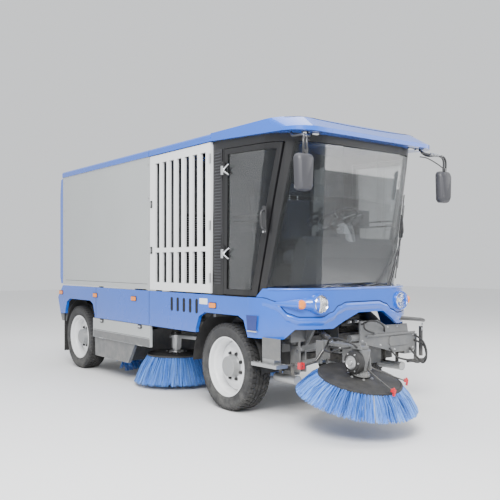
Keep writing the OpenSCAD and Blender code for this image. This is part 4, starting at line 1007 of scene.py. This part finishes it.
# front arm and what hangs under the nose
headTilt = frontBrush["place"]
head = Shape()
drum = along(at(-0.588, -1.475, 0.632), (-1, 0, 0))
head.lathe([(0.0, 0.0), (0.092, 0.0), (0.1, 0.006), (0.104, 0.016), (0.104, 0.05), (0.1, 0.06),
            (0.086, 0.066), (0.084, 0.074), (0.062, 0.078), (0.0, 0.078)], drum, 56, 0)
head.lathe([(0.06, 0.074), (0.06, 0.084), (0.052, 0.088), (0.048, 0.083), (0.022, 0.083), (0.02, 0.094),
            (0.0, 0.095)], drum, 40, 1)
for k in range(6):
    a = math.pi * k / 3
    bolt = along(drum @ Vector((0.083 * math.cos(a), 0.083 * math.sin(a), 0.068)), (-1, 0, 0))
    head.lathe([(0.008, 0.0), (0.008, 0.010), (0.0, 0.011)], bolt, 6, 1)
for x in (-0.585, -0.505):  # cheeks of the brush bracket
    cheek = Matrix(((0, 0, 1, x), (1, 0, 0, axleY), (0, 1, 0, 0), (0, 0, 0, 1)))
    head.prism([(-1.565, 0.562), (-1.40, 0.528), (-1.375, 0.60), (-1.42, 0.79), (-1.50, 0.80),
                (-1.545, 0.70)], 0.008, cheek, 2)
head.lathe([(0.082, 0.026), (0.086, 0.026), (0.086, 0.038), (0.07, 0.044), (0.06, 0.062), (0.052, 0.066)],
           headTilt, 48, 2)
for spot in around(headTilt, 8, 0.076, 0.041, math.pi / 8):
    head.lathe([(0.0085, 0), (0.0085, 0.008), (0.0, 0.009)], spot, 6, 1)
# stays with red end clips
for start, angle, reach in ((0.07, -92, 0.40), (0.08, -38, 0.41), (0.09, 62, 0.40)):
    a = math.radians(angle)
    way = Vector((math.cos(a), math.sin(a), 0))
    head.tube([headTilt @ (way * start + Vector((0, 0, 0.11))),
               headTilt @ (way * (start + 0.05) + Vector((0, 0, 0.085))),
               headTilt @ (way * (reach - 0.03) + Vector((0, 0, 0.028))),
               headTilt @ (way * reach + Vector((0, 0, 0.022)))], 0.0062, 8, 3, smooth=4)
    clip = headTilt @ Matrix.Translation(way * reach + Vector((0, 0, 0.018))) @ Matrix.Rotation(a, 4, "Z")
    head.box((-0.02, -0.014, -0.004), (0.016, 0.014, 0.022), 4, clip)
    head.box((0.002, -0.010, -0.034), (0.018, 0.010, 0.0), 4, clip)
    head.lathe([(0.009, 0.02), (0.009, 0.034), (0.0, 0.035)], clip, 14, 4)
head.tube([at(-0.64, -1.10, 0.70), at(-0.72, -1.08, 0.60), at(-0.90, -1.06, 0.565)],
          [0.015, 0.013, 0.011], 12, 3)
for dx in (0.0, 0.035):
    head.box((-0.905 + dx, axleY - 1.078, 0.545), (-0.885 + dx, axleY - 1.042, 0.602), 4)
head.piece("brush_motor_and_bracket", [rubberBlack, galvanised, greyPaint, blackSteel, redPlastic],
           "front_head", bevel=0.0018, angle=32)


def bolts(shape, spots, way, radius=0.009, paint=0):
    for spot in spots:
        place = along(spot, way)
        shape.lathe([(radius * 1.5, 0), (radius * 1.5, 0.002), (radius, 0.0025), (radius, 0.009),
                     (0.0, 0.0095)], place, 6, paint)


under = Shape()
sheets = [  # sheets that close the underside of the cab: low corner, high corner
    ((-0.66, -0.537, 0.60), (-0.10, -0.533, 0.96)), ((-0.10, -0.76, 0.70), (-0.096, -0.533, 0.96)),
    ((-0.96, -0.86, 0.60), (-0.954, -0.60, 0.80)), ((-0.30, -0.70, 0.955), (0.30, -0.40, 0.96)),
    ((0.954, -0.90, 0.44), (0.962, -0.86, 0.74)), ((0.10, -0.62, 0.42), (0.70, -0.615, 0.62))]
for low, high in sheets:
    under.box(at(*low), at(*high), 0)
for z in (0.70, 0.86):
    under.box(at(-0.65, -0.543, z), at(-0.12, -0.537, z + 0.012), 0)
bolts(under, [at(x, -0.928, z) for x, z in ((0.07, 0.9), (0.28, 0.9), (0.07, 0.72), (0.34, 0.66),
                                            (0.56, 0.60), (0.86, 0.60), (0.86, 0.74), (0.6, 0.84),
                                            (0.45, 0.84))], (0, -1, 0), 0.008, 1)
under.box(at(0.12, -0.944, 0.755), at(0.88, -0.928, 0.775), 0)  # pressed rib across the front sheet
under.prism(roundedRect(0.30, 0.10, 0.03, 5), 0.012, along(at(0.62, -0.928, 0.69), (0, -1, 0),
                                                           up=(0, 0, 1)), 0)
under.box(at(-0.16, -0.86, 0.875), at(0.10, -0.76, 0.965), 2)  # valve block
for k in range(5):
    under.lathe([(0.017, 0), (0.017, 0.035), (0.012, 0.04), (0.012, 0.055), (0.0, 0.056)],
                along(at(-0.135 + 0.052 * k, -0.86, 0.92), (0, -1, 0)), 16, 1 if k % 2 else 2)
    under.box(at(-0.15 + 0.052 * k, -0.83, 0.965), at(-0.118 + 0.052 * k, -0.79, 0.985), 2)
under.tube([at(0.60, -0.95, 0.93), at(0.90, -1.0, 0.90), at(0.985, -0.97, 0.885)],
           [0.022, 0.02, 0.02], 14, 3)
under.tube([at(0.99, -0.93, 0.82), at(0.99, -0.93, 0.50)], 0.022, 14, 3)
under.tube([at(0.72, -0.97, 0.47), at(0.98, -0.97, 0.46)], 0.02, 14, 3)
bolts(under, [at(0.985, -0.95, 0.84), at(0.985, -0.95, 0.79)], (0.4, -1, 0), 0.015, 1)
under.piece("underside_sheets", [greyPaint, galvanised, rubberBlack, blackSteel], "truck",
            bevel=0.0015)

lift = Shape()
ramTop, ramFoot = at(-0.488, -0.84, 0.884), at(-0.488, -1.1554, 0.7082)
ram = along(ramTop, ramFoot - ramTop)
lift.lathe([(0.0, 0.02), (0.026, 0.02), (0.031, 0.026), (0.031, 0.17), (0.034, 0.172), (0.034, 0.19),
            (0.028, 0.194), (0.0, 0.194)], ram, 32, 0)
lift.tube([ram @ Vector((0.031, 0, 0.04)), ram @ Vector((0.044, 0, 0.05)), ram @ Vector((0.044, 0, 0.17)),
           ram @ Vector((0.031, 0, 0.18))], 0.0055, 8, 1)
lift.piece("lift_cylinder_sleeve", [blackSteel, galvanised], "lift_barrel")

hoseTable = []


def hose(name, points, radius, body, look):
    path = curveThrough([Vector(p) for p in points], 10)
    length = sum((b - a).length for a, b in zip(path, path[1:]))
    shape = Shape()
    shape.tube(path, radius, 12)
    made = shape.piece(name, [look], body, angle=60)
    hoseTable.append((name, round(length, 3)))


hose("hose_valve_left", [at(0.06, -0.93, 0.89), at(0.03, -0.985, 0.90), at(0.02, -1.01, 0.85),
                         at(0.12, -1.00, 0.81), at(0.24, -0.93, 0.79)], 0.009, "truck", rubberBlack)
hose("hose_valve_right", [at(0.10, -0.93, 0.90), at(0.12, -0.985, 0.925), at(0.22, -1.0, 0.91),
                          at(0.33, -0.98, 0.86), at(0.40, -0.93, 0.80)], 0.009, "truck", rubberBlack)
hose("hose_left_loop", [at(0.80, -0.93, 0.60), at(0.83, -1.00, 0.51), at(0.91, -1.02, 0.44),
                        at(0.97, -1.02, 0.50), at(0.95, -1.0, 0.62), at(0.875, -0.93, 0.68)], 0.011,
     "truck", rubberBlack)
hose("hose_left_long", [at(0.48, -0.93, 0.62), at(0.52, -1.00, 0.53), at(0.66, -1.04, 0.49),
                        at(0.80, -1.06, 0.46), at(0.92, -1.06, 0.53), at(0.93, -1.01, 0.66),
                        at(0.87, -0.93, 0.74)], 0.010, "truck", rubberBlack)
hose("hose_motor_in", [at(-0.615, -1.50, 0.762), at(-0.655, -1.47, 0.80), at(-0.68, -1.36, 0.83),
                       at(-0.66, -1.22, 0.82), at(-0.615, -1.13, 0.765)], 0.0085, "front_head", rubberBlack)
hose("hose_motor_out", [at(-0.615, -1.42, 0.755), at(-0.69, -1.37, 0.745), at(-0.72, -1.28, 0.71),
                        at(-0.69, -1.17, 0.715), at(-0.615, -1.125, 0.752)], 0.0085,
     "front_head", rubberBlack)
print("front arm and hoses built", hoseTable)

# cab inside
seat = {"y": -0.26, "squab": ((-0.245, -0.235, 1.505), (0.245, 0.235, 1.632)), "voxel": 0.006,
        "pressure": 4.0, "cap": 0.026, "folds": 7}


def cushion(name, low, high, place, fill):
    shape = Shape()
    cells = 6
    spans = [[low[a] + 0.006 + (high[a] - low[a] - 0.012) * i / cells for i in range(cells + 1)]
             for a in range(3)]
    shape.box([s[0] for s in spans], [s[-1] for s in spans])
    made = shape.piece(name, [seatCloth], "truck")
    soft = made.modifiers.new("soft", "BEVEL")
    soft.width, soft.segments = 0.028, 5
    fine = made.modifiers.new("fine", "REMESH")
    fine.mode, fine.voxel_size, fine.use_smooth_shade = "VOXEL", seat["voxel"], True
    graph = bpy.context.evaluated_depsgraph_get()
    mesh = bpy.data.meshes.new_from_object(made.evaluated_get(graph))
    made.modifiers.clear()
    made.data = mesh
    still = [v.co.copy() for v in mesh.vertices]
    cloth = made.modifiers.new("cloth", "CLOTH")
    rules = cloth.settings
    rules.quality, rules.mass = 4, 0.25
    rules.tension_stiffness = rules.compression_stiffness = 12
    rules.use_pressure, rules.uniform_pressure_force = True, seat["pressure"]
    rules.effector_weights.gravity = 0
    cloth.point_cache.frame_start, cloth.point_cache.frame_end = 1, 20
    for number in range(1, 21):
        bpy.context.scene.frame_set(number)
    moved = made.evaluated_get(bpy.context.evaluated_depsgraph_get()).to_mesh()
    for v, old, new in zip(mesh.vertices, still, moved.vertices):
        step = new.co - old
        if step.length > seat["cap"]:
            step *= seat["cap"] / step.length
        v.co = old + step
    made.modifiers.clear()
    bpy.context.scene.frame_set(1)
    mesh.transform(place)
    if not len(mesh.materials):
        mesh.materials.append(seatCloth)
    mesh.polygons.foreach_set("use_smooth", [True] * len(mesh.polygons))
    return made


squabPlace = Matrix.Translation(at(0, seat["y"], 0))
squab = cushion("seat_squab", *seat["squab"], squabPlace, 0.7)
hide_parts("driver_seat")
backPlace = turned(at(0, seat["y"] + 0.225, 1.64), -8, "X")
cushion("seat_back", (-0.23, -0.055, 0.01), (0.23, 0.045, 0.60), backPlace, 0.7)
cushion("head_rest", (-0.13, -0.045, 0.615), (0.13, 0.035, 0.76), backPlace, 0.7)
frameShape = Shape()
frameShape.box(at(-0.24, seat["y"] - 0.22, 1.47), at(0.24, seat["y"] + 0.24, 1.503), 0)
for k in range(seat["folds"]):  # bellows round the sprung base
    z = 1.27 + 0.028 * k
    w = 0.165 if k % 2 else 0.148
    frameShape.box(at(-w, seat["y"] - w, z), at(w, seat["y"] + w + 0.03, z + 0.028), 1)
frameShape.box(at(-0.16, seat["y"] - 0.17, 1.18), at(0.16, seat["y"] + 0.2, 1.275), 0)
for side in (1, -1):
    frameShape.tube([backPlace @ Vector((side * 0.06, -0.005, 0.55)),
                     backPlace @ Vector((side * 0.06, -0.005, 0.64))], 0.007, 10, 2)
    frameShape.tube([at(side * 0.265, seat["y"] + 0.17, 1.72), at(side * 0.268, seat["y"] - 0.05, 1.745),
                     at(side * 0.262, seat["y"] - 0.13, 1.735)], 0.023, 14, 0, smooth=4)
backShell = roundedRect(0.45, 0.6, 0.06, 6)
frameShape.prism(backShell, 0.022, backPlace @ Matrix.Translation((0, 0.065, 0.305))
                 @ Matrix.Rotation(math.radians(90), 4, "X"), 0)
frameShape.piece("seat_frame", [cabTrim, rubberBlack, chrome], "truck", bevel=0.003)

dashGear = {"gauges": (-0.085, 0.0, 0.085), "switches": 6, "pitch": 0.055, "pedals": (-0.14, 0.02, 0.14)}
dash = Shape()
dash.box(at(-0.17, -0.80, 1.735), at(0.17, -0.70, 1.80), 0)
dash.box(at(-0.15, -0.702, 1.745), at(0.15, -0.697, 1.79), 1)
for x in dashGear["gauges"]:
    dash.lathe([(0.026, 0), (0.026, 0.006), (0.022, 0.008), (0.02, 0.003), (0.0, 0.003)],
               along(at(x, -0.697, 1.768), (0, 1, 0)), 28, 2)
for x in [x0 + dashGear["pitch"] * k for x0 in (-0.52, 0.24) for k in range(dashGear["switches"])]:
    dash.box(at(x, -0.708, 1.60), at(x + 0.04, -0.668, 1.655), 2)
for side in (1, -1):
    dash.lathe([(0.045, 0.0), (0.045, 0.012), (0.038, 0.014), (0.036, 0.004), (0.0, 0.004)],
               along(at(side * 0.50, -0.70, 1.71), (0, 0.8, 0.5)), 32, 2)
dash.box(at(0.27, -0.69, 1.78), at(0.29, -0.66, 1.92), 0)
dash.box(at(0.16, -0.70, 1.88), at(0.42, -0.675, 2.06), 0)
dash.box(at(0.175, -0.676, 1.895), at(0.405, -0.672, 2.045), 1)
for x in dashGear["pedals"]:
    dash.box(at(x - 0.035, -0.60, 1.20), at(x + 0.035, -0.575, 1.33), 2)
column = at(0, -0.655, 1.96)
lean = Matrix.Translation(column) @ Matrix.Rotation(math.radians(-28), 4, "X")
dash.lathe([(0.055, -0.30), (0.062, -0.20), (0.06, -0.12), (0.048, -0.075), (0.0, -0.07)], lean, 32, 3)
for side in (1, -1):
    dash.tube([lean @ Vector((side * 0.05, 0, -0.10)), lean @ Vector((side * 0.17, 0.01, -0.075))],
              [0.008, 0.010], 10, 2)
dash.piece("dashboard_fittings", [cabTrim, darkVoid, rubberBlack, cabPale], "truck",
           bevel=0.002)
wheelTrim = Shape()
wheelTrim.lathe([(0.0, 0.008), (0.036, 0.006), (0.046, -0.002), (0.05, -0.014), (0.046, -0.03),
                 (0.0, -0.034)], lean, 40, 0)
for k in range(3):
    a = math.radians(90 + 120 * k)
    way = Vector((math.cos(a), math.sin(a), 0))
    side = Vector((-math.sin(a), math.cos(a), 0))
    for t in (0.2, -0.2):
        wheelTrim.tube([lean @ (way * 0.045 + side * 0.05 * t - Vector((0, 0, 0.008))),
                        lean @ (way * 0.19 + side * 0.09 * t)], 0.0055, 8, 1)
wheelTrim.piece("steering_wheel_trim", [rubberBlack, cabPale], "steering_wheel")
print("cab inside built")

# engine bay
engine = {"cylinders": [0.44 + 0.2 * k for k in range(4)], "coolerFins": 30,
          "pulleys": ((0.0, 1.0, 0.10), (-0.17, 1.18, 0.06), (0.17, 1.22, 0.07))}
motor = Shape()
for y in engine["cylinders"]:
    motor.box(at(-0.13, y, 1.505), at(0.13, y + 0.16, 1.575), 0)
    bolts(motor, [at(x, y + d, 1.575) for x in (-0.11, 0.11) for d in (0.02, 0.14)], (0, 0, 1), 0.008, 2)
motor.tube([at(-0.24, 0.45, 1.42), at(-0.30, 0.50, 1.45), at(-0.30, 1.2, 1.45), at(-0.24, 1.28, 1.42)],
           0.036, 16, 1, smooth=6)
for y in engine["cylinders"]:
    port = [at(-0.13, y + 0.08, 1.53), at(-0.22, y + 0.08, 1.52), at(-0.29, y + 0.09, 1.46)]
    motor.tube(port, 0.022, 12, 1, smooth=4)
motor.lathe([(0.0, 0), (0.15, 0), (0.16, 0.02), (0.16, 0.4), (0.15, 0.42), (0.06, 0.43), (0.06, 0.47),
             (0.0, 0.47)], along(at(-0.52, 0.62, 1.75), (0, 1, 0)), 40, 3)
for x, z, r in engine["pulleys"]:
    motor.lathe([(r, 0), (r, 0.01), (r * 0.86, 0.02), (r, 0.03), (r, 0.04), (r * 0.3, 0.04),
                 (r * 0.3, 0.05), (0.0, 0.05)], along(at(x, 0.35, z), (0, -1, 0)), 36, 2)
motor.tube([at(-0.46, 1.1, 1.75), at(-0.36, 1.22, 1.7), at(-0.2, 1.25, 1.6)], 0.045, 16, 3, smooth=6)
motor.tube([at(0.32, 0.6, 1.2), at(0.45, 0.6, 1.25), at(0.5, 0.6, 1.6), at(0.5, 0.7, 2.5)], 0.045,
           18, 2, smooth=6)
for side in (1, -1):
    motor.box(at(side * 0.302 - 0.003, 0.5, 1.0), at(side * 0.302 + 0.003, 1.2, 1.4), 0)
    bolts(motor, [at(side * 0.305, y, z) for y in (0.55, 0.85, 1.15) for z in (1.05, 1.35)],
          (side, 0, 0), 0.009, 2)
motor.box(at(-0.62, 1.30, 1.25), at(0.62, 1.38, 2.1), 4)
for k in range(engine["coolerFins"]):
    motor.box(at(-0.6, 1.285, 1.27 + 0.027 * k), at(0.6, 1.30, 1.278 + 0.027 * k), 2)
motor.piece("engine_dressing", [castIron, blackSteel, galvanised, rubberBlack, chassisBlack], "truck",
            bevel=0.0025)

# hopper and rear door
rearDoor = {"hinges": (-0.70, -0.06, 0.58), "catch": 0.82}
rear = Shape()
for side in (1, -1):
    for k in range(2):
        rear.prism(roundedRect(0.72, 0.62, 0.06, 5), 0.006,
                   along(at(side * 0.44, rearY - 0.002, 1.62 + 0.72 * k), (0, 1, 0), up=(0, 0, 1)), 0)
rear.box(at(-0.9, rearY - 0.002, 1.965), at(0.9, rearY + 0.002, 1.973), 1)
for x in rearDoor["hinges"]:
    rear.box(at(x - 0.02, rearY - 0.004, 2.60), at(x + 0.14, rearY + 0.010, 2.70), 2)
    bolts(rear, [at(x + d, rearY + 0.010, 2.65) for d in (0.0, 0.06, 0.12)], (0, 1, 0), 0.008, 3)
for side in (1, -1):
    x = side * rearDoor["catch"]
    rear.box(at(x - 0.03, rearY, 1.24), at(x + 0.03, rearY + 0.018, 1.36), 2)
    route = [at(x, rearY + 0.018, 1.28), at(x, rearY + 0.045, 1.30), at(x, rearY + 0.045, 1.40)]
    rear.tube(route, 0.008, 10, 2)
rear.piece("rear_door_dressing", [bluePaint, darkVoid, blackSteel, galvanised], "rear_hatch",
           bevel=0.002)
bodySide = Shape()
for side in (1, -1):
    x = side * halfWidth
    for y in (hopperFront + 0.02, hopperBack - 0.06):
        bolts(bodySide, [at(x, y, z) for z in (1.32, 1.8, 2.28, 2.68)], (side, 0, 0), 0.006, 1)
    bodySide.box(at(x - 0.0012, hopperFront + 0.05, 1.252), at(x + 0.0012, hopperBack - 0.1, 1.256), 0)
bodySide.piece("hopper_joints", [darkVoid, galvanised], "hopper")
end = Shape()
end.prism(roundedRect(0.52, 0.12, 0.012, 4), 0.006, along(at(0, 4.294, 0.99), (0, 1, 0), up=(0, 0, 1)), 0)
end.prism(roundedRect(0.50, 0.10, 0.008, 4), 0.008, along(at(0, 4.294, 0.99), (0, 1, 0), up=(0, 0, 1)), 1)
for side in (1, -1):
    end.prism(roundedRect(0.09, 0.04, 0.012, 4), 0.008, along(at(side * 0.5, 4.298, 0.80), (0, 1, 0),
                                                              up=(0, 0, 1)), 2)
    end.tube([at(side * 0.36, 4.296, 0.735), at(side * 0.36, 4.302, 0.70)], 0.012, 12, 0)
end.piece("number_plate_and_reflectors", [rubberBlack, labelWhite, redLens], "truck",
          bevel=0.0015)

# side brush arms and underbody
for side, tag in sides:
    low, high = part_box("side_arm_" + tag)
    arm = Shape()
    centre = at(side * 0.535, 1.635, 0)
    cup = Matrix.Translation(centre + Vector((0, 0, high.z - 0.004)))
    arm.lathe([(0.07, 0.0), (0.07, 0.012), (0.06, 0.018), (0.056, 0.06), (0.048, 0.068), (0.0, 0.068)], cup,
              36, 0)
    arm.lathe([(0.06, 0.062), (0.062, 0.066), (0.05, 0.074)], cup, 36, 1)
    for spot in around(cup, 4, 0.063, 0.010, math.pi / 4):
        arm.lathe([(0.008, 0), (0.008, 0.010), (0.0, 0.011)], spot, 6, 1)
    pivot = Matrix.Translation(at(side * 0.42, 1.045, high.z - 0.003))
    arm.lathe([(0.034, 0), (0.034, 0.006), (0.02, 0.008), (0.02, 0.016), (0.0, 0.018)], pivot, 6, 1)
    arm.piece("side_arm_motor_" + tag, [rubberBlack, galvanised], "side_arm_" + tag,
              bevel=0.0012)
keel = Shape()
for side in (1, -1):
    bolts(keel, [at(side * 0.412, y, z) for y in [0.7 + 0.32 * k for k in range(7)] for z in (0.67, 0.76)],
          (side, 0, 0), 0.009, 1)
    keel.tube([at(side * 0.425, -0.2, 0.79), at(side * 0.425, 1.5, 0.795), at(side * 0.425, 3.9, 0.795)],
              0.009, 8, 0)
keel.lathe([(0.0, 0.0), (0.08, 0.004), (0.12, 0.03), (0.125, 0.06), (0.125, 0.50), (0.12, 0.53),
            (0.08, 0.556), (0.0, 0.56)], along(at(0.02, 0.56, 0.56), (0, 1, 0)), 36, 2)
keel.tube([at(0.0, 0.25, 0.5), at(0.0, 0.5, 0.5)], 0.03, 16, 0)
keel.piece("underbody_dressing", [blackSteel, galvanised, chassisBlack], "truck")
print("engine, hopper and underbody built")

# floor, light, camera
bpy.ops.mesh.primitive_plane_add(size=60, location=(0, 0, 0))
floor = bpy.context.object
floor.name = "studio_floor"
floorLook = bpy.data.materials.new("floorLook")
floorLook.use_nodes = True
floorShader = floorLook.node_tree.nodes["Principled BSDF"]
floorShader.inputs["Base Color"].default_value = (0.86, 0.86, 0.86, 1)
floorShader.inputs["Roughness"].default_value = 0.85
floorShader.inputs["Specular IOR Level"].default_value = 0.2
floor.data.materials.append(floorLook)

studio = {"sky": 1.0, "key": ((-6.0, -7.0, 7.0), 1500, 4.0), "fill": ((7.0, -6.0, 5.0), 300, 6.0),
          "top": ((0, 0, 8.5), 600, 8.0)}
world = bpy.data.worlds.new("studio")
bpy.context.scene.world = world
world.use_nodes = True
world.node_tree.nodes["Background"].inputs["Color"].default_value = (0.96, 0.98, 1.0, 1)
world.node_tree.nodes["Background"].inputs["Strength"].default_value = studio["sky"]
for lampName in ("key", "fill", "top"):
    spot, watts, wide = studio[lampName]
    light = bpy.data.lights.new(lampName + "_light", "AREA")
    light.energy = watts
    light.size = wide
    lamp = bpy.data.objects.new(lampName + "_light", light)
    lamp.location = spot
    lamp.rotation_euler = (Vector((0, 0, 1.2)) - Vector(spot)).to_track_quat("-Z", "Y").to_euler()
    bpy.context.scene.collection.objects.link(lamp)

view = {"lens": 49.2, "sensor": 36, "shift": 0.0252, "spot": (-5.04, -6.8415, 1.51), "turn": (90, 0, -37.8)}
cameraData = bpy.data.cameras.new("camera")
cameraData.lens = view["lens"]
cameraData.sensor_width = view["sensor"]
cameraData.shift_y = view["shift"]
camera = bpy.data.objects.new("camera", cameraData)
camera.location = view["spot"]
camera.rotation_euler = [math.radians(a) for a in view["turn"]]
bpy.context.scene.collection.objects.link(camera)
bpy.context.scene.camera = camera
print("camera and light placed")
